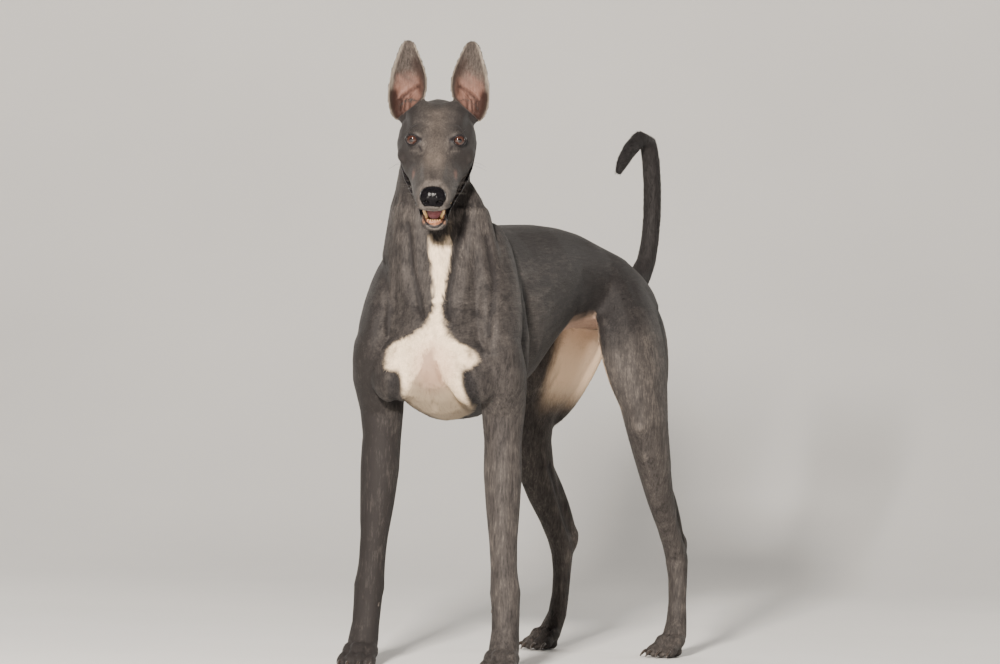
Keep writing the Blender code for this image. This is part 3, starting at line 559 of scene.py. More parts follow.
# The crease over the keel in the same frame: across and down; the white below it is painted with shade
KEEL_LINE = np.array([(398, 402), (408, 393), (421, 369), (431, 347), (442, 381), (455, 397), (474, 413)])
# Painted shadow under the chin and painted shade beside the breastbone: middle across and down, half width,
# half height, lean
PAINTED_SHADE_SPOTS = (
    (438.5, 225, 15.0, 21.5, 0.0), (394, 388, 7.5, 18, 0.1), (471, 387, 8.5, 22, -0.3),
    (489, 382, 1.6, 2.6, -0.8),
)


CAMERA_PLACE = (EYES[1] + EYES[-1]) / 2 + CAMERA_FROM_EYES


def camera_turn():
    azimuth, dip = math.radians(CAMERA_AZIMUTH_DEG), math.radians(CAMERA_DIP_DEG)
    ahead = Vector((-math.sin(azimuth) * math.cos(dip), math.cos(azimuth) * math.cos(dip), -math.sin(dip)))
    level = ahead.to_track_quat("-Z", "Y")
    return level.to_matrix() @ rotation(CAMERA_ROLL_DEG, "Z")


def in_frame(points):
    """Where points fall in the camera's frame, in its pixels from the top left."""
    local = (points - np.array(CAMERA_PLACE)) @ np.array(camera_turn())
    focal = CAMERA_LENS / CAMERA_SENSOR * FRAME_WIDTH
    across = FRAME_WIDTH / 2 + focal * local[:, 0] / -local[:, 2]
    down = FRAME_HEIGHT / 2 - focal * local[:, 1] / -local[:, 2]
    return across, down


def wavy(points, scale, seed=0.0):
    """A cheap smooth wobble between -1 and 1."""
    x, y, z = (points * scale + seed).T
    first = np.sin(x + 1.7 * np.sin(y + 0.6 * z))
    second = np.sin(1.9 * y + 1.3 * np.sin(1.4 * z + x))
    return (first + second + np.sin(2.3 * z + 1.9 * x)) / 3


# The ear's cup, from its root to its tip: height, outward shift, half width, depth
EAR = np.array(metres((
    (-12, 14, 6, 7), (-4, 13, 14, 13), (8, 9, 22, 19), (24, 3, 29.5, 23), (39, 1, 30.5, 20), (54, 0, 29, 16),
    (69, 0, 25.5, 12), (84, 0, 20, 8.5), (97, 0, 14.9, 5.5), (107, 0, 11.3, 3.5), (113, 0, 5, 2),
)))
EAR_WALL, EAR_CURL_DEG = 0.0036, 72.0
# Folds inside the cup: outward and up, then reach and height
EAR_FOLDS = metres((
    (((-12, 46), (-1.5, 39.5), (12, 31), (18, 22)), 1.9, 2.4), (((-13, 40), (-2, 34), (9, 26)), 1.8, -1.6),
    (((-10, 34), (-3, 27), (4.5, 19)), 1.7, 2), (((3.5, 20), (5, 6)), 1.4, 2.2),
    (((9.2, 20), (10.5, 4)), 1.4, 2.2), (((15, 18), (15.5, 3)), 1.4, 2), (((-18, 60), (-20, 30)), 3, 1),
))


# Painted shade in the grooves between the folds
EAR_GROOVES = metres((
    ((-13, 40.5), (-2, 34.5), (9, 26.5), (14, 19)), ((-1, 28), (0, 8)), ((6.4, 21), (7.8, 4)),
    ((12.2, 20), (13, 3)), ((17.5, 18), (17, 2)),
))
# The ear's tip is rounded by widening it: heights and shares
EAR_TIP = ((0.086, 0.097, 0.107, 0.113), (0.0, 0.1, 0.3, 0.1))


def ear_seat(side):
    """The ear's root, and its turn without its lean."""
    root = on_head_side(EAR_ROOT, side)
    return root, rotation(NECK_TURN_DEG + EAR_TURN_DEG * side, "Z")


def ear_local(points, side):
    """Places in the ear's own frame: outward, back from the cup, and up."""
    root, turn = ear_seat(side)
    root = np.array(root)
    turn = np.array(turn @ rotation(EAR_LEAN_DEG * side, "Y"))
    local = (points - root) @ turn
    local[:, 0] *= side
    return local, turn, root


def cup_depth(local):
    """How far back the cup's inner face lies at each place, and how far in from the rim that place is."""
    shift, width, cup = (np.interp(local[:, 2], EAR[:, 0], EAR[:, column]) for column in (1, 2, 3))
    half = math.radians(EAR_CURL_DEG)
    wide = np.maximum(width - EAR_WALL / 2, 0.0005)
    share = np.clip((local[:, 0] - shift) / wide, -1, 1)
    angle = np.arcsin(share * math.sin(half))
    back = (cup - EAR_WALL / 2) * (np.cos(angle) - math.cos(half)) / (1 - math.cos(half))
    return back, wide - np.abs(local[:, 0] - shift)


def in_cup(line):
    """A line of the cup, laid flat: outward and up."""
    return [(x, 0, z) for x, z in line]


def skull_line(local):
    """How far each place is above the line where the skull covers the cup."""
    return local[:, 2] - (0.021 - (local[:, 0] + 0.024) * 0.72)


def carve_ears(points):
    """Open the foot of each ear's cup, and raise the folds inside it."""
    for side in (1, -1):
        local, turn, root = ear_local(points, side)
        back, from_rim = cup_depth(local)
        near = (np.abs(local[:, 0]) < 0.04) & (np.abs(local[:, 1]) < 0.05)
        near &= (local[:, 2] > -0.02) & (local[:, 2] < 0.05)
        above = ramp(skull_line(local), -0.0035, 0.003) * ramp(from_rim, 0.0, 0.0025)
        lump = above * ramp(local[:, 1], -0.04, -0.018) * (local[:, 1] < back) * near
        lump = lump * ramp(back - local[:, 1], 0.0006, 0.0016)
        local[:, 1] += lump * (back - 0.0004 - local[:, 1])
        inside = ramp(from_rim, 0.0, 0.004) * (np.abs(local[:, 1] - back) < 0.003)
        push = np.zeros(len(points))
        flat = local.copy()
        flat[:, 1] = 0
        for line, reach, height in EAR_FOLDS:
            push += height * streak(flat, in_cup(line), reach)
        local[:, 1] -= np.maximum(push, -0.0004) * inside
        tip = np.interp(local[:, 2], *EAR_TIP)
        tip *= (np.abs(local[:, 0]) < 0.03) & (np.abs(local[:, 1]) < 0.03)
        local[:, 0] *= side * (1 + tip)
        touched = near | ((push * inside) != 0) | (tip > 0)
        points[touched] = root + local[touched] @ turn.T


# Forms raised or hollowed on the skin: where, points, reach and height. Head and jaw points are in the head's
# frame, body points on the plain dog, and leg points beside the leg's axis.
HEAD_FORMS = metres((
    # Brow, frown line, hollow before the eye, temple, cheekbone, cheek
    (((20, -6, 34), (40, 4, 34)), 6.5, 1.4), (((13, -4, 36), (20, -16, 26)), 3.2, 1),
    (((19, -20, 18), (22, -34, 6)), 5, -1.2), (((26, -20, 12), (40, -16, 4)), 4.2, -1),
    (((24, -30, 2), (44, -18, -6)), 4.5, 0.9), (((52, 30, 14), (48, 50, 22)), 12, -2.2),
    (((40, 4, -14), (60, 40, -12)), 6, 1.2), (((50, 60, -30), (46, 36, -50)), 15, 1.8),
    # Furrow of the forehead, bridge of the nose and the side of the muzzle below it
    (((0, 45, 37), (0, -20, 26)), 5, -1.1), (((12, 30, 37), (14, 0, 33)), 7, 1),
    (((9, -40, 14), (8, -100, 6)), 4.5, 0.8), (((20, -45, -2), (20, -95, -6)), 5, -1),
    # Lip pads, folds of the lip and the corner of the mouth
    (((24, -90, -22), (26, -60, -26)), 9, 1.4), (((30, -50, -30), (34, -28, -34)), 2.8, -0.8),
    (((30, -80, -34), (36, -30, -40), (40, 4, -44)), 2.2, 0.7), (((36, -10, -46), (44, 22, -46)), 2.4, -1.4),
    (((46, 30, -40), (50, 40, -28)), 3.4, -1),
    # Root of the ear
    (((30, 86, 30), (40, 104, 26)), 8, 1.4), (((58, 76, 2), (62, 88, -10)), 6, 1.8),
))
# The black lower lip, rolled out beside the muzzle, in the shut jaw's frame
LIP_ROLL = metres((
    (19, -89, -45.5), (23.2, -62, -45.5), (28.5, -47, -45.5), (40, -25, -45.2), (47.5, -6, -44.7),
    (54, 18, -43), (58, 40, -35.5),
))
LIP_REACH, LIP_PULL = 0.0085, 0.75
LIP_THICK = metres((1, 1.5, 1.9, 2.3, 2.4, 2, 0.9))
BODY_FORMS = metres((
    # Windpipe and the straps of the neck
    (((0, -312, 700), (0, -350, 560)), 14, 1.8), (((20, -312, 720), (22, -345, 560)), 6.5, -2),
    (((36, -302, 745), (26, -350, 545)), 11, 2.2), (((52, -290, 720), (64, -318, 560)), 7, -2.2),
    (((54, -240, 730), (76, -300, 580)), 14, 2),
    # Breastbone, breast muscles and the creases beside them
    (((0, -366, 500), (0, -352, 452)), 12, 2.6), (((0, -350, 448), (0, -300, 405)), 5, -2.4),
    (((34, -350, 470), (58, -320, 430)), 20, 3), (((60, -345, 500), (66, -320, 420)), 6, -2.8),
    (((72, -335, 520), (56, -345, 545)), 6, -2),
    # Point of the shoulder, shoulder blade's spine, and the back of the upper arm
    (((94, -332, 505),), 17, 3), (((70, -185, 680), (104, -290, 540)), 8, 1.8),
    (((82, -160, 660), (112, -240, 545)), 11, -2.2), (((108, -175, 520), (114, -215, 420)), 16, 2.8),
    (((108, -300, 470), (114, -245, 430)), 7, -1.8),
    (((100, -130, 600), (110, -145, 500), (100, -185, 430)), 9, -2.6),
    # Withers, spine and the muscle along the loin
    (((16, -190, 706), (18, -120, 702)), 11, 1.8), (((0, -120, 700), (0, 250, 672)), 5.5, -1.2),
    (((52, -60, 664), (56, 180, 656)), 8, -1.4),
    # Hip bone, seat bone, flank and its fold
    (((50, 175, 668),), 14, 3), (((36, 372, 590),), 13, 2.4), (((62, 130, 600), (68, 165, 570)), 26, -3.4),
    (((60, 165, 560), (70, 200, 520)), 7, 2.6),
    # Thigh: groove behind the broad muscle, and one before it
    (((80, 330, 560), (120, 262, 440)), 8, -2), (((80, 230, 600), (118, 215, 450)), 9, -1.6),
))
# Forms of the breast and neck as the camera sees them: corners in its frame, reach there, height
CHEST_FORMS = (
    # Crease between the breast and the keel, and the lobes on both sides of it
    (((431, 345), (436, 362), (442, 381), (455, 397), (474, 413)), 1.9, -0.004),
    (((431, 347), (421, 369), (408, 392)), 2.6, -0.0018),
    (((424, 362), (420, 376)), 8.0, 0.004),
    (((452, 366), (463, 392)), 7.0, 0.0036),
    (((431, 340), (431, 325)), 4.0, 0.003),
    # Grooves beside the windpipe, and the straps of the neck beside them
    (((409, 226), (412, 262), (419, 298), (423, 318)), 3.2, -0.0034),
    (((465, 216), (457, 250), (449, 296), (450, 320)), 3.2, -0.0034),
    (((401, 240), (403, 275), (411, 310)), 5.0, 0.0026),
    (((470, 238), (466, 275), (461, 312)), 5.0, 0.0026),
    # Front edge of the shoulder blades and of the upper arms
    (((385, 262), (389, 300), (388, 332)), 3.6, -0.003),
    (((486, 236), (494, 285), (489, 335)), 3.6, -0.003),
    (((497, 322), (500, 330)), 7.0, 0.0026),
    (((374, 318), (373, 328)), 7.0, 0.0024),
    # Hollows before the armpits
    (((395, 372), (396, 402)), 5.0, -0.0036),
    (((468, 376), (477, 405)), 5.0, -0.0036),
)
FORE_FORMS = metres((
    # Lines beside the long muscles of the forearm, wrist bones, and tendons of the foot
    (((30, -10, 350), (26, -6, 230)), 7, 1), (((26, 12, 350), (20, 10, 220), (18, 10, 150)), 4, -1.3),
    (((20, -20, 330), (14, -18, 180)), 4, -0.9), (((-24, 4, 340), (-18, 4, 170)), 4.5, -0.9),
    (((20, 0, 128),), 8, 1.2), (((-18, 0, 124),), 7.5, 1.1), (((0, -18, 130),), 8, 0.8),
    (((6, -18, 108), (9, -20, 60)), 2.6, -0.8), (((-6, -18, 108), (-9, -20, 60)), 2.6, -0.8),
    (((16, 10, 108), (15, 12, 60)), 3, -1),
))
HIND_FORMS = metres((
    # Kneecap, ridge of the shin, vein, hollow before the tendon, hock and tendons of the foot
    (((4, -46, 372),), 12, 2.2), (((2, -40, 340), (0, -26, 250)), 5, 1.2),
    (((26, 16, 300), (18, 20, 235), (15, 18, 195)), 7, -2.4),
    (((-24, 16, 300), (-16, 20, 235), (-13, 18, 195)), 7, -2.2),
    (((24, -14, 240), (20, 12, 285), (16, 30, 330)), 2, 0.9), (((20, 0, 150),), 8, 1.2),
    (((-19, 0, 150),), 8, 1.2), (((16, 4, 130), (14, 6, 60)), 3.2, -1.1),
    (((-15, 4, 130), (-13, 6, 60)), 3.2, -1), (((5, -15, 120), (8, -18, 50)), 2.4, -0.6),
    (((-5, -15, 120), (-8, -18, 50)), 2.4, -0.6),
))
# Each rib further back starts, ends and stands a step on from the one before it
RIBS, RIB_REACH = 9, 0.0062
RIB_START, RIB_STEP = -0.135, 0.027
RIB_LOW, RIB_RISE = 0.45, 0.012
RIB_HEIGHT, RIB_LESS = 0.0013, 0.00006
# A push this high counts as a full ridge when the coat is toned, with painted light on the ridges and painted
# shade in the grooves
RELIEF_FULL = 0.0035
# How much stronger the tables' heights are made
BODY_RELIEF, LEG_RELIEF, BREAST_RELIEF = 1.35, 1.3, 1.35
TOE_SPREADS = metres((-20.5, -7.5, 7.5, 20.5))
CLEFT_REACH, CLEFT_DEPTH = 0.0034, 0.0042
KNUCKLE_REACH, KNUCKLE_HEIGHT = 0.006, 0.0012
# Points lower than this keep their height, so that the soles stay flat
SOLE_HEIGHT = 0.0012


def toe_back(spread):
    """How much further back an outer toe lies."""
    return 0.008 if abs(spread) > 0.01 else 0.0


def raise_forms(points, directions):
    """Every muscle, bone, tendon and fold, as a push along the skin's own direction."""
    push = np.zeros(len(points))

    def form(line, reach, height):
        push[:] += height * streak(points, line, reach)

    for side in (1, -1):
        for forms, place, gain in ((HEAD_FORMS, on_head_side, 1), (BODY_FORMS, placed, BODY_RELIEF)):
            for line, reach, height in forms:
                # Forms on the middle line are raised once, with the left side's
                if side > 0 or any(abs(corner[0]) > 1e-6 for corner in line):
                    form([place(corner, side) for corner in line], reach, height * gain)
        for kind, forms in (("fore", FORE_FORMS), ("hind", HIND_FORMS)):
            for line, reach, height in forms:
                form(leg_line(kind, side, line), reach, height * LEG_RELIEF)
        for rib in range(RIBS):
            back, low = RIB_START + RIB_STEP * rib, RIB_LOW + RIB_RISE * rib
            line = [(0.092, back, 0.63), (0.104, back + 0.022, 0.56), (0.096, back + 0.028, low)]
            form([placed(corner, side) for corner in line], RIB_REACH, RIB_HEIGHT - RIB_LESS * rib)
    across, down = in_frame(points)
    seen = np.stack([across, down, np.zeros(len(points))], axis=1)
    front = ramp(-points[:, 1], 0.16, 0.2) * (points[:, 2] < 0.72)
    for line, reach, height in CHEST_FORMS:
        push += front * height * BREAST_RELIEF * streak(seen, [(x, y, 0) for x, y in line], reach)
    # Kept to paint light on the ridges and shade in the grooves of the coat
    SKIN["relief"] = np.clip(push / RELIEF_FULL, -1, 1)
    return points + directions * push[:, None]


def shape_toes(points, directions):
    """Clefts between the toes, and a knuckle over each of them."""
    push = np.zeros(len(points))
    for side in (1, -1):
        for kind in ("fore", "hind"):
            for first, second in zip(TOE_SPREADS, TOE_SPREADS[1:]):
                middle = (first + second) / 2
                line = [(middle * 0.9, -0.006, 0.04), (middle, -0.03, 0.03), (middle * 1.1, -0.052, 0.01)]
                line = [on_paw(corner, side, kind) for corner in line]
                push -= CLEFT_DEPTH * streak(points, line, CLEFT_REACH)
            for spread in TOE_SPREADS:
                knuckle = [on_paw((spread * 0.9, -0.022 + toe_back(spread), 0.034), side, kind)]
                push += KNUCKLE_HEIGHT * streak(points, knuckle, KNUCKLE_REACH)
    low = points[:, 2] < SOLE_HEIGHT
    moved = points + directions * push[:, None]
    moved[low, 2] = points[low, 2]
    return moved


# Lines of the face in the head's frame: pale brow, pale fold under the eye, dark tear line
BROW_LINE = metres(((40, 1, 31), (30, -3, 33), (19, -8.5, 24), (17.2, -23.6, 14.3)))
UNDER_EYE_LINE = metres(((19, -26.5, 11), (26.5, -19.8, 9.5), (39.3, -9.5, 4.5)))
TEAR_LINE = metres(((26.5, -13, 15.5), (22.8, -17.5, 14), (20.8, -23.5, 11.8)))


LAYERS = {
    "marks": ("white", "pink", "dark"), "wet": ("flesh", "black", "light"),
    "tone": ("upright", "warm", "pale"), "calm": ("calm", "ear_shade_and_pouch", "painted_shade"),
}


class Fields:
    """What each vertex of the skin is: its node, the lie of its hair, its markings with their painted shade
    and light, and its hair's length.
    """

    LIES = {
        "head": (0.0, 1.0, 0.12), "lower_jaw": (0.0, 1.0, -0.15), "neck": (0.0, 0.4, -1.0),
        "torso": (0.0, 1.0, -0.3), "tail_base": (0.0, 0.35, 1.0), "tail_middle": (0.0, 0.0, 1.0),
        "tail_tip": (0.0, -0.9, -0.5), "ear": (0.0, 0.0, 1.0),
        "upper_arm": (0.0, 0.35, -1.0), "forearm": (0.0, 0.05, -1.0), "forepaw": (0.0, -0.25, -1.0),
        "thigh": (0.0, 0.55, -1.0), "lower_leg": (0.0, 0.35, -1.0), "hind_paw": (0.0, -0.2, -1.0),
    }
    # Length of hair, how much it stands, and tufts per square centimetre
    HAIR = {
        "head": (0.0034, 0.1, 17), "lower_jaw": (0.0036, 0.12, 17), "neck": (0.0078, 0.11, 10),
        "torso": (0.008, 0.09, 8.5), "tail_base": (0.008, 0.2, 13), "tail_middle": (0.0088, 0.26, 16),
        "tail_tip": (0.0092, 0.3, 18), "ear": (0.004, 0.2, 17),
        "upper_arm": (0.0068, 0.1, 10), "forearm": (0.0052, 0.1, 12), "forepaw": (0.0036, 0.14, 14),
        "thigh": (0.0074, 0.11, 10), "lower_leg": (0.0052, 0.12, 13), "hind_paw": (0.0038, 0.14, 14),
    }

    def __init__(self, mesh):
        self.points = coordinates(mesh)
        self.normals = normals(mesh)
        self.find_nodes()
        self.edges = whole_numbers(mesh.edges, "vertices", 2)
        self.set_lie()
        self.set_marks()
        self.set_hair()

    def find_nodes(self):
        corners, owner = [], []
        for number, name in enumerate(FLESH):
            for vert in NODES[name].data.vertices:
                corners.append(vert.co)
                owner.append(number)
        tree = kdtree.KDTree(len(corners))
        for i, corner in enumerate(corners):
            tree.insert(corner, i)
        tree.balance()
        self.node = np.array([owner[tree.find(point)[1]] for point in self.points])

    def table(self, values):
        rows = [values.get(name, values.get(name.rsplit("_", 1)[0])) for name in FLESH]
        return np.array(rows)[self.node]

    def spread(self, values, times):
        """The values evened out over neighbouring vertices."""
        first, second = self.edges.T
        count = np.bincount(np.concatenate([first, second]), minlength=len(values))[:, None]
        wide = values.reshape(len(values), -1).astype(float)
        for _ in range(times):
            total = np.zeros_like(wide)
            for column in range(wide.shape[1]):
                total[:, column] = np.bincount(first, wide[second, column], len(values))
                total[:, column] += np.bincount(second, wide[first, column], len(values))
            wide = 0.5 * wide + 0.5 * total / np.maximum(count, 1)
        return wide.reshape(values.shape)

    def set_lie(self):
        plain = self.table(self.LIES)
        heading = np.radians(np.where(self.points[:, 1] < -0.06, 17.0, -5.0))
        laid = np.stack([*turned(plain[:, 0], plain[:, 1], heading), plain[:, 2]], axis=1)
        head = self.on("head", "lower_jaw")
        laid[head] = plain[head] @ HEAD_AXES.T
        lie = self.spread(laid, 40)
        lie -= self.normals * np.sum(lie * self.normals, axis=1)[:, None]
        self.lie = lie / np.maximum(sizes(lie), 1e-6)[:, None]
        upright = np.abs(laid[:, 2]) / sizes(laid)
        self.upright = self.spread(upright, 40)

    def on(self, *names):
        """Which vertices lie on the nodes whose names start so."""
        return np.isin(self.node, [number for number, name in enumerate(FLESH) if name.startswith(names)])

    def set_marks(self):
        points, outward = self.points, self.normals
        px, py, pz = points.T
        across, down = in_frame(points)
        wobble = wavy(points, 260.0) * 1.6 + wavy(points, 700.0, 2.0) * 0.8
        left = np.interp(down, BLAZE[:, 0], BLAZE[:, 1])
        right = np.interp(down, BLAZE[:, 0], BLAZE[:, 2])
        inside = np.minimum(across - left, right - across) + wobble
        tall = np.minimum(down - BLAZE[0, 0], BLAZE[-1, 0] - down) + wobble
        front = py < -0.18
        body = self.on("neck", "torso", "upper_arm")
        soft = np.interp(down, (300, 335), (1.6, 4.2))
        white = ramp(np.minimum(inside, tall) / soft, -1, 1) * front * body
        # Painted shadow under the chin and painted shade beside the breastbone, taking the white away
        patches = np.zeros(len(points))
        for x, y, wide, tall, lean in PAINTED_SHADE_SPOTS:
            aside, below = across - x, down - y
            spot = np.hypot((aside + below * lean) / wide, below / tall) - wobble * 0.06
            patches = np.maximum(patches, fall(spot, 0.65, 1.15) * front * body)
        white *= 1 - patches
        flushed = np.hypot((across - 433) / 22, (down - 366) / 27)
        flushed = fall(flushed, 0.5, 1.3) * front * body
        # Pale inner thighs and belly
        heading = math.radians(BEND_REAR_DEG)
        sideways = np.array((math.cos(heading), math.sin(heading), 0))
        lateral = (points - np.array(placed((0, 0.26, 0)))) @ sideways
        inward = -outward @ sideways * np.sign(lateral)
        thigh = self.on("thigh", "torso") & (py > 0.1) & (np.abs(lateral) < 0.16)
        pale = ramp(inward + 0.25 * wobble / 3, 0.5, 0.85) * ramp(pz, 0.385, 0.455) * thigh
        pale *= ramp(across + 0.3 * (down - 370) + wobble, 544, 560)
        pale *= fall(pz, 0.58, 0.65) * fall(np.abs(lateral), 0.088, 0.102)
        pale *= 1 - ramp(lateral, 0.03, 0.042) * ramp(pz, 0.52, 0.54)
        under = ramp(-outward[:, 2], 0.45, 0.8) * self.on("torso")
        belly = under * ramp(py, -0.02, 0.1) * fall(py, 0.26, 0.32)
        belly *= fall(np.abs(lateral), 0.05, 0.068)
        pink = pale * (0.3 + 0.35 * ramp(pz, 0.47, 0.55))
        pink = greatest([pink, belly * 0.55, flushed * 0.42])
        white = np.maximum(white, np.maximum(pale * 0.97, belly * 0.6))
        # Painted shade over the back where it faces up, over the loin and tail, on the dog's right and a
        # little over its fore part; painted light on its left foreleg and thigh
        torso, tail = self.on("torso"), self.on("tail")
        back = ramp(outward[:, 2], 0.1, 0.75) * torso
        rear = ramp(py, -0.1, 0.1) * torso
        fore = py < -0.05
        right = fall(px, -0.1, -0.03) * fore * (pz < 0.7)
        clear = self.on("forearm_left") * 0.4 + self.on("thigh_left") * 0.3
        painted_shade = greatest([0.9 * back, 0.85 * rear, 1.3 * tail, 0.88 * right, 0.25 * fore])
        keel = ramp(down - np.interp(across, KEEL_LINE[:, 0], KEEL_LINE[:, 1]), -3, 5) * front * body
        # Painted shade in the grooves of the forms and painted light on their ridges, less on the head
        relief = SKIN["relief"] - self.spread(SKIN["relief"], 45)
        self.painted_shade = self.spread(painted_shade - clear, 14) - relief * (1 - 0.6 * self.on("head", "lower_jaw"))
        # Painted shade on the white below the keel's crease, and painted light that raises the pale inner
        # thighs
        self.painted_shade += 3.2 * keel * white - 1.5 * pale
        # Tail darkest at its tip; painted shade along the back, loin and tail; dark fringe of the brisket;
        # painted shadow under the chin and painted shade beside the breastbone
        dark = self.spread(self.on("tail_tip").astype(float), 30)
        painted_shade_above = self.spread(greatest([0.55 * back, 0.5 * rear, 0.5 * tail]), 30)
        brisket = np.exp(-(((across - 460) / 10) ** 2 + ((down - 419) / 5) ** 2)) * front * body
        dark = greatest([dark, brisket * 0.8, patches * (0.75 - 0.48 * (down < 300)), painted_shade_above])
        self.white, self.pink, self.dark = white, pink, dark
        self.set_ears()
        self.set_mouth()
        self.set_tone()

    def set_ears(self):
        """Painted shade, pink and warm tones in the ears' cups, and their pale rims with painted rim light."""
        points, outward = self.points, self.normals
        light = np.zeros(len(points))
        inner = np.zeros(len(points))
        self.ear_warm = np.zeros(len(points))
        self.ear_shade_and_pouch = np.zeros(len(points))
        for word, side in SIDES.items():
            ear = self.on("ear_" + word)
            local, turn, _ = ear_local(points, side)
            out, behind, up = local.T
            facing = -(outward @ turn)[:, 1]
            back, from_rim = cup_depth(local)
            close = (behind < back + 0.004) & (behind > back - 0.01)
            close &= (up > -0.016) & (up < 0.115)
            cup = close * ramp(skull_line(local), -0.002, 0.001) * ramp(facing, -0.15, 0.2)
            cup = cup * ramp(from_rim, -0.001, 0.002)
            deep = ramp(from_rim, 0.002, 0.01) * cup
            rise = up + 0.008 * wavy(points, 160.0)
            inner = np.maximum(inner, deep)
            hollow = np.zeros(len(points))
            flat = local * (1, 0, 1)
            for line, reach, height in EAR_FOLDS:
                hollow -= np.sign(height) * streak(flat, in_cup(line), reach)
            low = fall(up, 0.012, 0.045)
            pouch = streak(flat, [(0.026, 0, 0.03), (0.021, 0, 0.008), (0.016, 0, -0.006)], 0.0085)
            shade = streak(flat, [(-0.01, 0, 0.078), (-0.021, 0, 0.056), (-0.018, 0, 0.034)], 0.0068)
            grooves = np.zeros(len(points))
            for line in EAR_GROOVES:
                grooves = np.maximum(grooves, streak(flat, in_cup(line), 0.003))
            rows = 0.5 + 0.5 * wavy(local * (3.2, 0, 0.5), 420.0)
            # Painted shade in the cups: low down, in the hollows between folds, along the inner edge and in
            # the grooves, with a dark brown pouch and rows of tone
            depth = 0.2 * low + 0.25 * low * hollow + 0.16 * rows
            depth = depth + 0.9 * pouch + 0.6 * shade + 0.52 * grooves
            self.ear_shade_and_pouch = np.maximum(self.ear_shade_and_pouch, cup * np.clip(depth, 0, 0.92))
            self.pink = np.maximum(self.pink, deep * (0.46 - 0.46 * ramp(rise, 0.03, 0.072)))
            self.ear_warm = np.maximum(self.ear_warm, cup * 0.9)
            # Pale hair at the rims, with painted rim light
            broad = np.where(out > 0, 0.006, 0.0026)
            broad = broad * np.interp(up, (0.02, 0.09), (1.0, 0.75))
            band = fall(from_rim, broad * 0.35, broad)
            light = np.maximum(light, 0.8 * band * np.maximum(ear * ramp(facing, -0.6, 0.2), cup))
        self.inner_ear = inner
        self.light = light

    def set_tone(self):
        """Browner forehead and muzzle, paler lines round the eyes and lips, and painted shade on the sides of
        the head.
        """
        local = self.head_local
        face = self.on("head", "lower_jaw")
        both = mirrored(local)
        crown = streak(both, [(0, 0.05, 0.037), (0, 0.0, 0.032), (0.004, -0.05, 0.014)], 0.017)
        cheek = streak(both, [(0.046, 0.03, -0.026), (0.036, -0.02, -0.022)], 0.016)
        bridge = streak(both, [(0.006, -0.04, 0.012), (0.007, -0.1, 0.004)], 0.01)
        self.warm = face * np.clip(0.75 * crown + 0.35 * cheek + 0.35 * bridge, 0, 1)
        self.warm = np.maximum(self.warm, self.ear_warm)
        brow = streak(both, BROW_LINE, 0.0032)
        under = streak(both, UNDER_EYE_LINE, 0.0024)
        tear = streak(both, TEAR_LINE, 0.0017) * face
        self.black = np.maximum(self.black, 0.75 * tear)
        lip = streak(both, [(0.02, -0.108, -0.034), (0.03, -0.07, -0.04)], 0.0032)
        nose = nose_measure((self.points - NOSE_MIDDLE) @ HEAD_AXES)
        ring = ramp(nose, 1.0, 1.1) * fall(nose, 1.35, 2.1)
        # Painted shade on the sides of the head, behind the muzzle
        flank = ramp(both[:, 0], 0.022, 0.05) * ramp(local[:, 1], -0.09, -0.04)
        shade = flank * fall(local[:, 1], 0.05, 0.1)
        pale = 0.45 * brow + 0.45 * under + 0.8 * lip + 0.34 * crown + 0.16 * bridge
        pale = pale + 0.8 * self.chin_rim + 0.5 * ring - 0.7 * shade
        self.pale = face * np.clip(pale, -0.6, 1)
        self.calm = self.spread(self.on("head", "lower_jaw", "ear").astype(float), 6)
        pinks = streak(both, [(0.032, -0.05, -0.011), (0.033, -0.056, -0.013)], 0.0044) * face
        self.pink = np.maximum(self.pink, 0.26 * pinks)

    def set_mouth(self):
        """Flesh inside the mouth, and the black of lips and lids."""
        local = in_head(self.points)
        facing = self.normals @ HEAD_AXES
        jaw_local = in_jaw(local)
        jaw_facing = facing @ np.array(JAW_SWING)[:3, :3]
        self.head_local = local
        x, y, z = local.T
        _, jaw_y, jaw_z = jaw_local.T
        near = self.on("head", "lower_jaw") & (y < 0.04)
        upper = near & (np.abs(z + 0.0425) < 0.006) & (facing[:, 2] < -0.45)
        lower = near & (np.abs(jaw_z + 0.044) < 0.006) & (jaw_facing[:, 2] > 0.35)
        lower &= (y > -0.088) & (np.abs(x) < 0.016)
        deep = near & (np.abs(x) < 0.022) & (z < -0.04) & (jaw_z > -0.05)
        deep &= (y > -0.094) & (np.abs(x) < 0.017)
        across, down = in_frame(self.points)
        bowl = np.hypot((across - 434.4) / 12.8, (down - 212.0) / 16.6)
        chin = self.on("lower_jaw") * (jaw_y < -0.082)
        chin = chin * (down > 213) * (jaw_facing[:, 1] < 0.2)
        gum = chin * fall(bowl, 0.78, 0.85)
        self.flesh = np.maximum(self.spread((upper | lower | deep).astype(float), 2), gum)
        self.chin_rim = chin * ramp(bowl, 0.96, 1.00) * fall(bowl, 1.03, 1.1)
        seam = chin * ramp(bowl, 0.79, 0.85) * fall(bowl, 0.95, 0.99)
        upper_lip = bell(z + 0.044, 0.0024) * near * (y < 0.026)
        lower_lip = fall(np.abs(jaw_z + 0.0452), 0.0031, 0.0046)
        lower_lip = lower_lip * near * (y < 0.03) * self.on("lower_jaw") * (1 - self.flesh)
        corner = np.exp(-(near_line(mirrored(jaw_local), LIP_ROLL) / 0.0034) ** 4) * near
        lower_lip = lower_lip * (1 - chin)
        self.black = np.clip(greatest([upper_lip, lower_lip * 0.95, corner * (1 - gum), seam]), 0, 1)

    def set_hair(self):
        length, lift, density = self.table(self.HAIR).T
        points = self.points
        behind = ramp(self.normals[:, 1], 0.35, 0.75) * self.spread(self.on("thigh").astype(float), 20)
        length = length * (1 + 0.45 * behind)
        lift = lift + 0.14 * behind
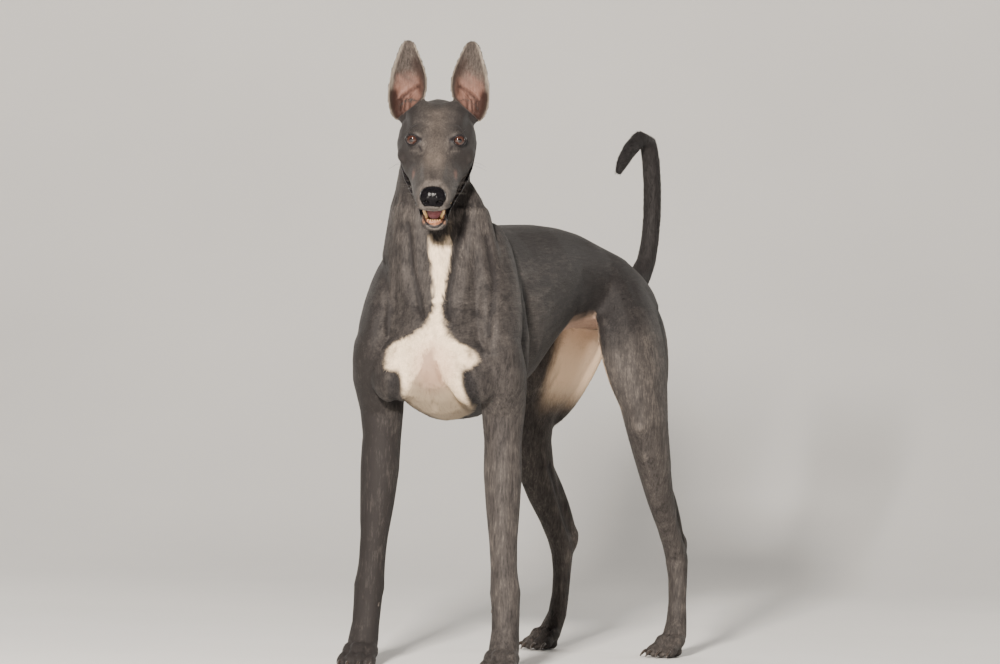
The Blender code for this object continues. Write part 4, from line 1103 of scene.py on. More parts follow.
        # Throat, chest and belly stand a little more; ear rims bristle outward
        front = ramp(-self.normals[:, 1], 0.3, 0.8) * self.on("neck", "torso")
        lift = lift + 0.05 * front
        keel = ramp(-self.normals[:, 2], 0.5, 0.9) * self.on("torso", "neck")
        lift = lift + 0.1 * keel
        length = length * (1 + 0.35 * keel)
        rim = self.light * self.on("ear")
        lift = lift + 0.14 * rim
        length = length * (1 + 0.1 * rim)
        ahead = self.head_local[:, 1]
        face = self.on("head") & (ahead < -0.02)
        length = np.where(face, length * np.interp(ahead, (-0.11, -0.02), (0.5, 1.0)), length)
        density = np.where(face, density * 1.35, density)
        density = density * (1 - 0.72 * self.inner_ear * (self.pink > 0.2)) * (1 - 0.45 * (self.pink > 0.4))
        bare = np.clip(self.flesh * 1.6 + (self.black - 0.35) * 1.8, 0, 1)
        nose = (points - NOSE_MIDDLE) @ HEAD_AXES
        bare = np.maximum(bare, fall(nose_measure(nose), 1.12, 1.2))
        soles = ramp(-self.normals[:, 2], 0.6, 0.8) * (points[:, 2] < 0.02)
        bare = np.maximum(bare, soles)
        self.length = length
        self.lift = self.spread(lift, 3)
        self.density = density * (1 - bare)

    def layers(self):
        """The vertex attributes that the coat's materials read, each with its three numbers."""
        for label, names in LAYERS.items():
            yield label, np.stack([getattr(self, name) for name in names], axis=1)

    def write(self, mesh):
        for label, rows in self.layers():
            set_attribute(mesh, label, rows)


UPPER_LIP_LIFT, CHIN_LIFT, CHIN_NARROWING = 0.0056, 0.005, 0.36


def lift_lip(points):
    """A higher edge to the upper lip under the nose, and a flatter chin."""
    local = in_head(points)
    x, y, z = local.T
    front = fall(y, -0.1, -0.06)
    front = front * (y > -0.15) * (np.abs(x) < 0.04)
    upper = ramp(-z, 0.026, 0.038) * fall(-z, 0.0462, 0.0475) * front
    jaw_z = in_jaw(local)[:, 2]
    chin = ramp(-jaw_z, 0.047, 0.06) * fall(y, -0.095, -0.04)
    chin = chin * (np.abs(x) < 0.03) * (-jaw_z < 0.075) * (y > -0.15)
    aside, _, up = HEAD_AXES.T
    corners = 1 + 1.8 * np.clip(np.abs(x) / 0.018, 0, 1) ** 2
    points -= np.outer(chin * CHIN_NARROWING * x, aside)
    points += np.outer(upper * UPPER_LIP_LIFT + chin * corners * CHIN_LIFT, up)


def flare_lips(points):
    """The skin drawn out to the rolled lower lip on both sides."""
    for side in (1, -1):
        line = [np.array(on_jaw((x * side, y, z))) for x, y, z in LIP_ROLL]
        best = np.full(len(points), 9.0)
        target = points.copy()
        for start, end in zip(line, line[1:]):
            along = end - start
            share = np.clip((points - start) @ along / (along @ along), 0, 1)
            foot = start + share[:, None] * along
            distance = sizes(points - foot)
            closer = distance < best
            best[closer], target[closer] = distance[closer], foot[closer]
        pull = LIP_PULL * bell(best, LIP_REACH) * (best < 0.02)
        points += (target - points) * pull[:, None]


def ear_spot(side):
    """The middle of the folds at the foot of an ear's cup."""
    root, turn = ear_seat(side)
    return root + turn @ Vector((0.005 * side, 0.006, 0.02))


def build_skin():
    """One closed skin over all the flesh, with its fields kept for the coat."""
    bm = joined_solids(FLESH + ["eye_left", "eye_right", "nose"], SEAM_FILL)
    for side in (1, -1):
        web = leg_line("hind", side, [HOCK_WEB])[0]
        bmesh.ops.create_icosphere(bm, subdivisions=3, radius=HOCK_WEB_RADIUS, matrix=Matrix.Translation(web))
    mesh = with_modifiers(mesh_from(bm, "skin"), voxels(SKIN_VOXEL))
    points = coordinates(mesh)
    head = head_share(points)
    feet = fall(points[:, 2], 0.06, 0.12)
    mesh = softened(mesh, np.ones(len(points)), SKIN_SMOOTHING)
    mesh = softened(mesh, 1 - np.maximum(head, feet), BODY_SMOOTHING)
    mesh = thinned(mesh)
    points = coordinates(mesh)
    soft = np.zeros(len(points))
    for place, reach in SOFT_SPOTS:
        distance = sizes(points - np.array(place))
        soft = np.maximum(soft, fall(distance, reach * 0.5, reach))
    mesh = softened(mesh, soft, SPOT_SMOOTHING)
    lids = [EYES[side] + (HEAD_TURN @ Vector((0, -0.01, 0))) for side in (1, -1)]
    for reach in FINER_LIDS:
        mesh = finer_near(mesh, lids, reach)
    mesh = finer_near(mesh, [ear_spot(side) for side in (1, -1)], FINER_EARS)
    points = coordinates(mesh)
    directions = normals(mesh)
    points = raise_forms(points, directions)
    points = shape_toes(points, directions)
    floor = points[:, 2] < COAT_DEPTH + SEAM_FILL
    points = points - directions * (COAT_DEPTH + SEAM_FILL)
    points[floor, 2] = np.maximum(points[floor, 2], FLOOR_GAP)
    sink_under_nose(points)
    lift_lip(points)
    flare_lips(points)
    carve_ears(points)
    dark = shape_lids(points)
    set_coordinates(mesh, points)
    fields = Fields(mesh)
    fields.black = np.maximum(fields.black, dark)
    for side in (1, -1):
        near = sizes(points - np.array(EYES[side])) < 0.016
        fields.density *= 1 - near * ramp(dark, 0.25, 0.7)
    fields.write(mesh)
    SKIN["mesh"], SKIN["fields"] = mesh, fields
    skin = link(mesh, "skin", hair_material("short_grey_coat"))
    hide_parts(*FLESH)
    return skin


class Shader:
    """A short way to write a material's nodes."""

    def __init__(self, tree):
        self.tree = tree

    def node(self, kind, **settings):
        made = self.tree.nodes.new(kind)
        for name, value in settings.items():
            setattr(made, name, value)
        return made

    def wire(self, source, target):
        if isinstance(source, bpy.types.NodeSocket):
            self.tree.links.new(source, target)
        elif isinstance(source, (tuple, list)) and len(source) == 3 and target.type == "RGBA":
            target.default_value = (*source, 1.0)
        else:
            target.default_value = source

    def dress(self, surface, colour, roughness=None, settings=()):
        """Wire a surface's colour and roughness, and set its other sockets."""
        self.wire(colour, surface.inputs["Base Color"])
        if roughness is not None:
            self.wire(roughness, surface.inputs["Roughness"])
        for name, value in dict(settings).items():
            surface.inputs[name].default_value = value

    def attribute(self, name):
        return self.node("ShaderNodeAttribute", attribute_name=name)

    def parts(self, name):
        """The three numbers of a vector attribute."""
        split = self.node("ShaderNodeSeparateXYZ")
        self.wire(self.attribute(name).outputs["Vector"], split.inputs[0])
        return split.outputs

    def made(self, kind, sources, output=0, **settings):
        """A node's output, its inputs fed from the sources."""
        node = self.node(kind, **settings)
        for socket, source in sources.items():
            self.wire(source, node.inputs[socket])
        return node.outputs[output]

    def math(self, operation, first, second=0.0, clamp=False):
        return self.made("ShaderNodeMath", {0: first, 1: second}, operation=operation, use_clamp=clamp)

    def add(self, first, second):
        return self.math("ADD", first, second)

    def times(self, first, second):
        return self.math("MULTIPLY", first, second)

    def mix(self, share, first, second):
        return self.made("ShaderNodeMix", {"Factor": share, 6: first, 7: second}, 2, data_type="RGBA")

    def blend(self, share, first, second):
        return self.made("ShaderNodeMix", {"Factor": share, 2: first, 3: second}, data_type="FLOAT")

    def noise(self, scale, detail=3.0, stretch=None, roughness=0.55):
        """Noise on the object's own coordinates, drawn out along an axis where stretch says so."""
        where = self.node("ShaderNodeTexCoord").outputs["Object"]
        if stretch:
            mapping = self.node("ShaderNodeMapping")
            self.wire(where, mapping.inputs["Vector"])
            mapping.inputs["Scale"].default_value = stretch
            where = mapping.outputs[0]
        sources = {"Vector": where, "Scale": scale, "Detail": detail, "Roughness": roughness}
        return self.made("ShaderNodeTexNoise", sources, "Fac")

    def range(self, value, low, high, to_low=0.0, to_high=1.0):
        sources = {"Value": value, "From Min": low, "From Max": high, "To Min": to_low, "To Max": to_high}
        return self.made("ShaderNodeMapRange", sources)


def new_material(name, roughness=0.5, coat=0.0):
    material = bpy.data.materials.new(name)
    material.use_nodes = True
    shader = Shader(material.node_tree)
    surface = material.node_tree.nodes["Principled BSDF"]
    surface.inputs["Roughness"].default_value = roughness
    surface.inputs["Coat Weight"].default_value = coat
    return material, shader, surface


def bump(shader, surface, height, distance, strength):
    made = shader.made("ShaderNodeBump", {"Distance": distance, "Strength": strength, "Height": height})
    shader.wire(made, surface.inputs["Normal"])


def new_group(name, inputs, outputs):
    """A shader group with named sockets: each is its name, kind and default."""
    tree = bpy.data.node_groups.new(name, "ShaderNodeTree")
    for label, kind, default in inputs:
        socket = tree.interface.new_socket(label, in_out="INPUT", socket_type=kind)
        socket.default_value = default
    for label, kind in outputs:
        tree.interface.new_socket(label, in_out="OUTPUT", socket_type=kind)
    shader = Shader(tree)
    source = shader.node("NodeGroupInput")
    target = shader.node("NodeGroupOutput")
    return tree, shader, source.outputs, target.inputs


COAT_COLOURS = ("dark_hair", "grey_hair", "pale_hair", "white_hair", "pink_skin")


def grained(name, start, noise, span, tones, rough, raised, specular=0.5):
    """A material whose one noise sets its tone, its roughness and its bump."""
    material, shader, surface = new_material(name, *start)
    grain = shader.noise(*noise)
    tone = shader.mix(shader.range(grain, *span), *tones)
    shader.dress(surface, tone, shader.range(grain, 0.3, 0.7, *rough), {"Specular IOR Level": specular})
    bump(shader, surface, grain, *raised)
    return material


def hair_group():
    """The coat's colour and grain: streaks along the lie, warmer and paler places, the markings, and painted
    shade and light.
    """

    def named(name):
        return name.replace("_", " ").title()

    kept = bpy.data.node_groups.get("hair_colour")
    if kept:
        return kept
    looks = bpy.context.scene.greyhound_coat
    tree, shader, given, out = new_group(
        "hair_colour",
        [
            *((named(name), "NodeSocketColor", (*getattr(looks, name), 1)) for name in COAT_COLOURS),
            ("Lift", "NodeSocketFloat", 0.0),
        ],
        [("Color", "NodeSocketColor"), ("Grain", "NodeSocketFloat"), ("Roughness", "NodeSocketFloat")],
    )
    white, pink, dark = shader.parts("marks")
    flesh, black, light = shader.parts("wet")
    upright, warm, pale = shader.parts("tone")

    def strands(detail, back, legs):
        """Noise drawn out along the back, or down the legs where the hair lies upright."""
        return shader.blend(upright, shader.noise(1.0, detail, back), shader.noise(1.0, detail, legs))

    streaks = strands(3.0, (430, 52, 380), (400, 400, 54))
    bands = strands(2.0, (150, 26, 135), (145, 145, 29))
    grain = strands(2.0, (1500, 170, 1300), (1400, 1400, 180))
    mottle = shader.noise(16.0, 3.0)
    patches = shader.noise(55.0, 2.0)
    tone = shader.math("MULTIPLY_ADD", streaks, 0.62)
    tone.node.inputs[2].default_value = -0.1
    tone = shader.add(tone, shader.range(mottle, 0.3, 0.7, -0.07, 0.07))
    calm, ear_shade_and_pouch, painted_shade = shader.parts("calm")
    reach = shader.math("SUBTRACT", shader.range(calm, 0.0, 1.0, 0.13, 0.05), shader.times(upright, 0.04))
    sway = shader.times(shader.range(bands, 0.28, 0.72, -1.0, 1.0), reach)
    tone = shader.add(tone, sway)
    tone = shader.add(tone, shader.range(patches, 0.3, 0.7, -0.05, 0.05))
    fleck = shader.range(calm, 0.0, 1.0, 0.1, 0.17)
    tone = shader.add(tone, shader.times(shader.range(grain, 0.25, 0.75, -1.0, 1.0), fleck))
    tone = shader.add(tone, given["Lift"])
    tone = shader.add(tone, shader.times(pale, 0.42))
    # Painted shade darkens the tone, and painted light raises it
    tone = shader.math("SUBTRACT", tone, shader.times(painted_shade, 0.26))
    low = shader.mix(shader.range(tone, 0.02, 0.34), given["Dark Hair"], given["Grey Hair"])
    hair = shader.mix(shader.range(tone, 0.3, 0.8), low, given["Pale Hair"])
    brown = shader.mix(shader.range(tone, 0.0, 0.7), (0.022, 0.018, 0.016), (0.12, 0.098, 0.083))
    hair = shader.mix(warm, hair, brown)
    # Silver of the ears' rims: pale hair with painted rim light
    silver = shader.mix(shader.range(streaks, 0.3, 0.7), (0.115, 0.098, 0.082), (0.29, 0.25, 0.205))
    hair = shader.mix(shader.math("MULTIPLY", light, 0.85, clamp=True), hair, silver)
    # Dark hair, and painted shade and shadow where the dark mark says
    dark_hair_and_shade = shader.mix(shader.range(streaks, 0.35, 0.7), (0.006, 0.0055, 0.006), (0.027, 0.0245, 0.0245))
    hair = shader.mix(dark, hair, dark_hair_and_shade)
    shade = shader.range(tone, -0.25, 0.42, 0.34, 1.0)
    grey = shader.made("ShaderNodeCombineColor", dict.fromkeys(range(3), shade))
    factors = {"Factor": 1.0, 6: given["White Hair"], 7: grey}
    snow = shader.made("ShaderNodeMix", factors, 2, data_type="RGBA", blend_type="MULTIPLY")
    hair = shader.mix(white, hair, snow)
    flush = shader.mix(shader.range(patches, 0.3, 0.7), given["Pink Skin"], (0.26, 0.115, 0.08))
    hair = shader.mix(shader.times(pink, 0.88), hair, flush)
    gum = shader.mix(shader.range(streaks, 0.38, 0.62), (0.29, 0.14, 0.08), (0.1, 0.042, 0.026))
    # Painted shade in the ears' cups, and their dark brown pouch
    hair = shader.mix(ear_shade_and_pouch, hair, (0.014, 0.0065, 0.0052))
    hair = shader.mix(flesh, hair, gum)
    hair = shader.mix(black, hair, (0.01, 0.009, 0.01))
    shader.wire(hair, out["Color"])
    shader.wire(grain, out["Grain"])
    moist = shader.math("MAXIMUM", shader.times(flesh, 1.0), shader.times(black, 0.75))
    shader.wire(shader.range(moist, 0.0, 1.0, 0.66, 0.2), out["Roughness"])
    return tree


def hair_material(name, tufts=False):
    """The coat's colours on the skin, with a fine grain, or on tufts that each have a tone of their own."""
    material, shader, surface = new_material(name)
    group = shader.node("ShaderNodeGroup", node_tree=hair_group())
    if tufts:
        own = shader.attribute("own").outputs["Fac"]
        shader.wire(shader.range(own, -1.0, 1.6, -0.13, 0.2), group.inputs["Lift"])
    shader.dress(surface, group.outputs["Color"], group.outputs["Roughness"], {
        "Specular IOR Level": 0.1, "Sheen Weight": 0.02, "Sheen Roughness": 0.45
    })
    if not tufts:
        bump(shader, surface, group.outputs["Grain"], 0.0006, 0.55)
    return material


def seamless(names, grow, voxel, steps):
    """A fine single surface over copies of the named solids."""
    mesh = mesh_from(joined_solids(names, grow), "fine")
    return with_modifiers(mesh, voxels(voxel), ("SMOOTH", {"factor": 0.5, "iterations": steps}))


def eye_material():
    """A glass eye: amber-brown iris with fibres and a dark rim, a black pupil and a white darkened as painted
    shade.
    """
    looks = bpy.context.scene.greyhound_face
    material, shader, surface = new_material("amber_glass_eye", 0.04, 0.8)
    ring, turn_x, turn_y = shader.parts("iris")
    fanned = {0: shader.times(turn_x, 9.0), 1: shader.times(turn_y, 9.0), 2: shader.times(ring, 1.6)}
    around = shader.made("ShaderNodeCombineXYZ", fanned)
    fibres = shader.made("ShaderNodeTexNoise", {"Vector": around, "Scale": 1.6, "Detail": 4.0}, "Fac")
    rays = shader.range(fibres, 0.32, 0.68)
    amber = shader.mix(rays, tuple(c * 0.42 for c in looks.iris_colour), tuple(looks.iris_colour))
    glow = shader.mix(shader.range(ring, 0.55, 0.88), amber, tuple(c * 0.36 for c in looks.iris_colour))
    pupil = shader.mix(shader.range(ring, 0.26, 0.42), (0.002, 0.002, 0.003), glow)
    rim = shader.mix(shader.range(ring, 0.84, 0.98), pupil, (0.008, 0.005, 0.004))
    # Painted shade: the white is made dark as in the eye's shaded corners
    white = shader.mix(shader.range(ring, 1.1, 1.28), rim, (0.045, 0.03, 0.025))
    shader.dress(surface, white, None, {"Coat Roughness": 0.02, "Specular IOR Level": 0.12})
    return material


def build_eyes():
    """Both glass eyes, each a ball with a raised cornea, looking towards the viewer."""
    looks = bpy.context.scene.greyhound_face
    material = eye_material()
    for word, side in SIDES.items():
        bm = bmesh.new()
        bmesh.ops.create_uvsphere(bm, u_segments=64, v_segments=48, radius=EYE_RADIUS)
        gaze = (CAMERA_PLACE - EYES[side]).normalized()
        spread = rotation(looks.gaze_spread_deg * side, "Z")
        outlook = orbit_turn(side) @ Vector((0, -1, 0))
        gaze = spread @ gaze * looks.towards_viewer + outlook * (1 - looks.towards_viewer)
        gaze = gaze.normalized()
        turn = gaze.to_track_quat("Z", "Y").to_matrix()
        rows = []
        bm.verts.ensure_lookup_table()
        for vert in bm.verts:
            from_pole = math.degrees(vert.co.angle(Vector((0, 0, 1))))
            share = min(1.0, max(0.0, 1 - (from_pole / (IRIS_DEG * 1.12)) ** 2))
            flat = Vector((vert.co.x, vert.co.y))
            flat = flat.normalized() if flat.length > 1e-7 else Vector((1, 0))
            rows.append((from_pole / IRIS_DEG, flat.x, flat.y))
            vert.co *= 1 + CORNEA_BULGE / EYE_RADIUS * share ** 0.8
            vert.co = turn @ vert.co + EYES[side]
        mesh = mesh_from(bm, "glass_eye_" + word)
        set_attribute(mesh, "iris", np.array(rows))
        eye = link(mesh, "glass_eye_" + word, material)
        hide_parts("eye_" + word)


def nose_material():
    material, shader, surface = new_material("moist_black_nose", 0.22)
    where = shader.node("ShaderNodeTexCoord").outputs["Object"]
    cells = shader.made("ShaderNodeTexVoronoi", {"Vector": where, "Scale": 900.0}, "Distance", feature="F1")
    grain = shader.noise(500.0, 3.0)
    tone = shader.mix(shader.range(grain, 0.35, 0.65), (0.002, 0.002, 0.0025), (0.007, 0.006, 0.007))
    tone = shader.mix(shader.range(cells, 0.55, 0.9), tone, (0.004, 0.004, 0.005))
    shader.dress(surface, tone, shader.range(grain, 0.3, 0.7, 0.09, 0.17), {"Specular IOR Level": 0.055})
    bump(shader, surface, shader.math("SUBTRACT", 1.0, cells), 0.0004, 0.3)
    return material


# Nostril and wing of the nose in its own frame: points, reach and height
NOSE_FORMS = metres((
    (((8.4, -12, -3), (11.2, -11, -1), (15.2, -7, -4)), 2.4, -3.4),
    (((7.5, -11, 5.2), (14.5, -6, 4)), 3, 0.9),
))


def build_nose():
    """The nose pad: full wings, comma-shaped nostrils and a groove down to the lip."""
    mesh = seamless(["nose"], 0.0007, 0.00065, 5)
    points = coordinates(mesh)
    outward = normals(mesh)
    local = (points - NOSE_MIDDLE) @ HEAD_AXES
    push = -0.0009 * bell(local[:, 0], 0.0009) * fall(local[:, 2], -0.003, 0.004) * (local[:, 1] < 0)
    for side in (1, -1):
        for line, reach, height in NOSE_FORMS:
            push += height * streak(local, [(x * side, y, z) for x, y, z in line], reach)
    set_coordinates(mesh, points + outward * push[:, None])
    nose = link(mesh, "nose_pad", nose_material())
    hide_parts("nose")


TONGUE_LIGHT, TONGUE_DEEP, TONGUE_ROUGHNESS = (0.52, 0.235, 0.255), (0.37, 0.14, 0.16), 0.36


def tongue_material():
    material, shader, surface = new_material("tongue_flesh", TONGUE_ROUGHNESS, 0.35)
    patches = shader.noise(240.0, 3.0)
    spots = shader.noise(1400.0, 2.0)
    tone = shader.mix(shader.range(patches, 0.35, 0.65), TONGUE_DEEP, TONGUE_LIGHT)
    rough = shader.range(spots, 0.3, 0.7, TONGUE_ROUGHNESS * 0.7, TONGUE_ROUGHNESS * 1.3)
    depth = {"Subsurface Weight": 0.12, "Subsurface Radius": (0.004, 0.0015, 0.001)}
    shader.dress(surface, tone, rough, depth)
    bump(shader, surface, spots, 0.0004, 0.4)
    return material


def build_tongue():
    """The tongue, with its groove and a rounded rim."""
    mesh = seamless(["tongue"], 0.0, 0.0008, 6)
    tongue = link(mesh, "pink_tongue", tongue_material())
    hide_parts("tongue")


# Teeth of the lower jaw: sideways, along, root height, lean out, lean ahead, height, thickness
LOWER_TEETH = metres((
    (11.8, -90.5, -40.5, 4, -2.2, 17.8, 3.2), (8.5, -97.6, -44, 0.6, -1.2, 6.8, 1.9),
    (5.1, -98.2, -44, 0.3, -1.2, 6.8, 1.9), (1.7, -98.5, -44, 0, -1.2, 6.8, 1.9),
    (19, -64, -46.2, 0.6, -0.4, 4.6, 2.8), (21.8, -53, -46, 0.6, -0.4, 5.2, 3.2),
    (24.8, -40, -45.5, 0.6, -0.4, 6, 4),
))


def build_lips():
    """The black rolled edge of the lower lip, from beside the chin to the corner of the mouth."""
    bm = bmesh.new()
    marks = np.arange(len(LIP_ROLL))
    steps = np.linspace(0, marks[-1], 37)
    corners = np.array(LIP_ROLL)
    for _ in range(2):
        corners[1:-1] = corners[1:-1] * 0.5 + (corners[:-2] + corners[2:]) * 0.25
    for side in (1, -1):
        path = [on_jaw([np.interp(t, marks, column) for column in (corners * (side, 1, 1)).T]) for t in steps]
        ring = None
        for number, (place, t) in enumerate(zip(path, steps)):
            ahead = path[min(number + 1, len(path) - 1)] - path[max(number - 1, 0)]
            turn = ahead.to_track_quat("Z", "Y").to_matrix().to_4x4()
            thick = float(np.interp(t, marks, LIP_THICK)) * (1 + 0.1 * math.sin(t * 5.0))
            ends, place = number in (0, len(path) - 1), Matrix.Translation(place) @ turn
            made = bmesh.ops.create_circle(bm, cap_ends=ends, segments=12, radius=thick, matrix=place)
            verts = made["verts"]
            edges = {edge for vert in verts for edge in vert.link_edges}
            edges = [edge for edge in edges if edge.other_vert(edge.verts[0]) in verts]
            if ring:
                bmesh.ops.bridge_loops(bm, edges=ring + edges)
            ring = edges
    bmesh.ops.recalc_face_normals(bm, faces=bm.faces)
    tones = (0.004, 0.004, 0.0045), (0.016, 0.014, 0.015)
    noise, span, raised = (420.0, 3.0), (0.35, 0.65), (0.0005, 0.5)
    material = grained("moist_black_lip", (0.26,), noise, span, tones, (0.18, 0.4), raised, specular=0.3)
    link(mesh_from(bm, "black_lips"), "black_lips", material)


def horn(bm, foot, tip, thick, bow, sides=10, rows=6, blunt=0.16):
    """A tapering, bowed spike from foot to tip, with a rounded end."""
    foot, tip = Vector(foot), Vector(tip)
    before = len(bm.verts)
    bmesh.ops.create_cone(
        bm, cap_ends=True, cap_tris=False, segments=sides, radius1=thick, radius2=thick * blunt, depth=1.0
    )
    bm.verts.ensure_lookup_table()
    edges = {edge for vert in bm.verts[before:] for edge in vert.link_edges}
    edges = [edge for edge in edges if abs(edge.verts[0].co.z - edge.verts[1].co.z) > 0.5]
    bmesh.ops.subdivide_edges(bm, edges=edges, cuts=rows)
    bm.verts.ensure_lookup_table()
    verts = bm.verts[before:]
    along = tip - foot
    turn = along.to_track_quat("Z", "Y").to_matrix()
    for vert in verts:
        share = vert.co.z + 0.5
        round_off = math.sqrt(max(0.0, 1 - (1 - blunt) * share ** 1.6)) / max(1e-6, 1 - (1 - blunt) * share)
        flat = Vector((vert.co.x * round_off, vert.co.y * round_off, 0))
        vert.co = foot + along * share + turn @ flat + Vector(bow) * math.sin(math.pi * share)
    return verts


def build_teeth():
    bm = bmesh.new()
    for side in (1, -1):
        for across, along, root, out, ahead, tall, thick in LOWER_TEETH:
            foot = on_jaw((across * side, along, root))
            tip = on_jaw(((across + out) * side, along + ahead, root + tall))
            back = on_jaw((across * side, along + 0.001, root)) - foot
            horn(bm, foot, tip, thick, back * 0.8, blunt=0.22)
    tones = (0.62, 0.45, 0.23), (0.42, 0.25, 0.1)
    noise, span = (420.0, 3.0), (0.35, 0.7)
    material = grained("old_ivory_teeth", (0.22, 0.3), noise, span, tones, (0.16, 0.34), (0.0003, 0.3))
    link(mesh_from(bm, "teeth"), "teeth", material)


CLAW_THICK, DEWCLAW_THICK = 0.0027, 0.0019


def build_claws():
    """Four claws on each foot and a dewclaw inside each wrist."""
    bm = bmesh.new()
    for side in (1, -1):
        for kind in ("fore", "hind"):
            for spread in TOE_SPREADS:
                foot = on_paw((spread * 1.12, -0.052 + toe_back(spread), 0.0115), side, kind)
                tip = on_paw((spread * 1.22, -0.0665 + toe_back(spread), 0.0028), side, kind)
                horn(bm, foot, tip, CLAW_THICK, (0, 0, 0.0016), sides=12, blunt=0.2)
        foot = leg_line("fore", side, [(-0.0185, -0.004, 0.104)])[0]
        tip = leg_line("fore", side, [(-0.0205, -0.01, 0.0945)])[0]
        horn(bm, foot, tip, DEWCLAW_THICK, (0, 0, 0.0008), sides=12, blunt=0.2)
    noise, span = (1.0, 3.0, (900, 160, 900)), (0.35, 0.65)
    tones = (0.014, 0.011, 0.01), (0.055, 0.043, 0.035)
    material = grained("dark_horn_claws", (0.34, 0.15), noise, span, tones, (0.26, 0.46), (0.0003, 0.4))
    link(mesh_from(bm, "claws"), "claws", material)


def skin_tree():
    mesh = SKIN["mesh"]
    return BVHTree.FromPolygons([v.co for v in mesh.vertices], [p.vertices[:] for p in mesh.polygons])


def whisker_material():
    material, shader, surface = new_material("whisker_hair", 0.4)
    share = shader.range(shader.noise(30.0, 2.0), 0.4, 0.6)
    shader.dress(surface, shader.mix(share, (0.014, 0.012, 0.011), (0.055, 0.048, 0.042)))
    return material


WHISKER_SEED, WHISKER_THICK = 11, 0.00011


def build_whiskers():
    """Stiff hairs of the muzzle, chin, cheeks and brows, rooted on the skin."""
    rng = np.random.default_rng(WHISKER_SEED)
    tree = skin_tree()
    bm = bmesh.new()
    for side in (1, -1):
        roots = []
        for row in range(3):
            for step in range(4):
                place = (0.024, -0.094 + 0.01 * step, -0.014 - 0.0062 * row)
                roots.append((place, (1.0, 0.1 + 0.16 * step, -0.25), 0.018 + 0.003 * step))
        for step in range(5):
            roots.append(((0.006 + 0.003 * step, -0.1 + 0.006 * step, -0.07), (0.3, -0.45, -1.0), 0.017))
        for step in range(3):
            roots.append(((0.03 + 0.004 * step, -0.006, 0.036), (0.35, -0.75, 0.65), 0.022))
        for step in range(2):
            roots.append(((0.046, 0.018 + 0.008 * step, -0.034), (1.0, 0.25, -0.7), 0.024))
        for place, heading, length in roots:
            jitter = rng.normal(0, 1, 3)
            place = Vector(place) + Vector(jitter * 0.001)
            root = on_head_side(place, side)
            found, outward, _, _ = tree.find_nearest(root)
            if found is None:
                continue
            way = HEAD_TURN @ Vector((heading[0] * side, heading[1], heading[2]))
            way = (way.normalized() + outward * 0.45 + Vector(rng.normal(0, 0.12, 3))).normalized()
            length = length * rng.uniform(0.75, 1.2)
            foot = found - outward * 0.0006
            droop = Vector((0, 0, rng.uniform(0.02, 0.09) * length))
            horn(bm, foot, foot + way * length, WHISKER_THICK, droop, sides=5, rows=5, blunt=0.12)
    link(mesh_from(bm, "whiskers"), "whiskers", whisker_material())


# Pieces of the coat: the nodes that each grows on
COAT_REGIONS = {
    "coat_" + piece: tuple(name for starts in nodes for name in FLESH if name.startswith(starts))
    for piece, nodes in {
        "head": ("head", "lower_jaw"), "ears_tail": ("ear", "tail"), "neck": ("neck",), "trunk": ("torso",),
        "fore_legs": ("upper_arm", "forearm", "forepaw"), "thighs": ("thigh",),
        "hind_legs": ("lower_leg", "hind_paw"),
    }.items()
}
# Side of each tuft's own square on the unwrap
PATCH = 0.003
FIRST_COAT_SEED = 21
# Length of tufts against their thickness, and how deep their roots sit in the skin
TUFT_LENGTHS, TUFT_THICK = (0.0015, 0.004, 0.01), (0.00013, 0.00022, 0.00034)
ROOT_DEPTH = 0.0004


def tuft_shape():
    """One tuft: a three-sided spike in two lengths, its width along X and its tip up Z."""
    bm = bmesh.new()
    bmesh.ops.create_cone(bm, cap_ends=True, cap_tris=True, segments=3, radius1=1, radius2=0, depth=1)
    bmesh.ops.remove_doubles(bm, verts=bm.verts, dist=1e-4)
    sides = [edge for edge in bm.edges if abs(edge.verts[0].co.z - edge.verts[1].co.z) > 0.5]
    bmesh.ops.subdivide_edges(bm, edges=sides, cuts=1)
    bmesh.ops.triangulate(bm, faces=bm.faces)
    bm.verts.ensure_lookup_table()
    corners = np.array([vert.co[:] for vert in bm.verts])
    corners[:, 2] += 0.5
    faces = np.array([[vert.index for vert in face.verts] for face in bm.faces])
    bm.free()
    return corners, faces


def tuft_roots(names, rng, most):
    """Seeded roots spread over the skin of the named nodes, by area and the hair's density."""
    mesh, fields = SKIN["mesh"], SKIN["fields"]
    mesh.calc_loop_triangles()
    tris = whole_numbers(mesh.loop_triangles, "vertices", 3)
    tris = tris[np.isin(fields.node[tris[:, 0]], [FLESH.index(name) for name in names])]
    a, b, c = (fields.points[tris[:, i]] for i in range(3))
    area = sizes(np.cross(b - a, c - a)) / 2 * 1e4
    weight = area * np.clip(fields.density[tris].mean(axis=1), 0, None)
    count = int(min(most, round(weight.sum())))
    chosen = rng.choice(len(tris), count, p=weight / weight.sum())
    share = rng.random((count, 2))
    over = share.sum(axis=1) > 1
    share[over] = 1 - share[over]
    mix = np.stack([1 - share.sum(axis=1), share[:, 0], share[:, 1]], axis=1)
    return tris[chosen], mix


def mixed(values, tris, mix):
    if values.ndim == 1:
        return np.einsum("ij,ij->i", values[tris], mix)
    return np.einsum("ijk,ij->ik", values[tris], mix)


def unwrap_places(roots, node, names):
    """Each root's place on a plain unwrap of the skin: a strip for each node, around and along it."""
    places = np.zeros((len(roots), 2))
    strip = 1.0 / len(names)
    for number, name in enumerate(names):
        here = node == FLESH.index(name)
        low, high = (np.array(corner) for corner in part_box(name))
        size = high - low
        centre = (low + high) / 2
        along = int(np.argmax(size))
        others = [axis for axis in range(3) if axis != along]
        first, second = ((roots[here, axis] - centre[axis]) for axis in others)
        around = np.arctan2(second, first)
        places[here, 0] = strip * (number + 0.03 + 0.94 * (around / (2 * math.pi) + 0.5))
        rise = (roots[here, along] - low[along] + 0.004) / (size[along] + 0.008)
        places[here, 1] = 0.02 + 0.96 * np.clip(rise, 0, 1)
    return np.clip(places, PATCH, 1 - PATCH)


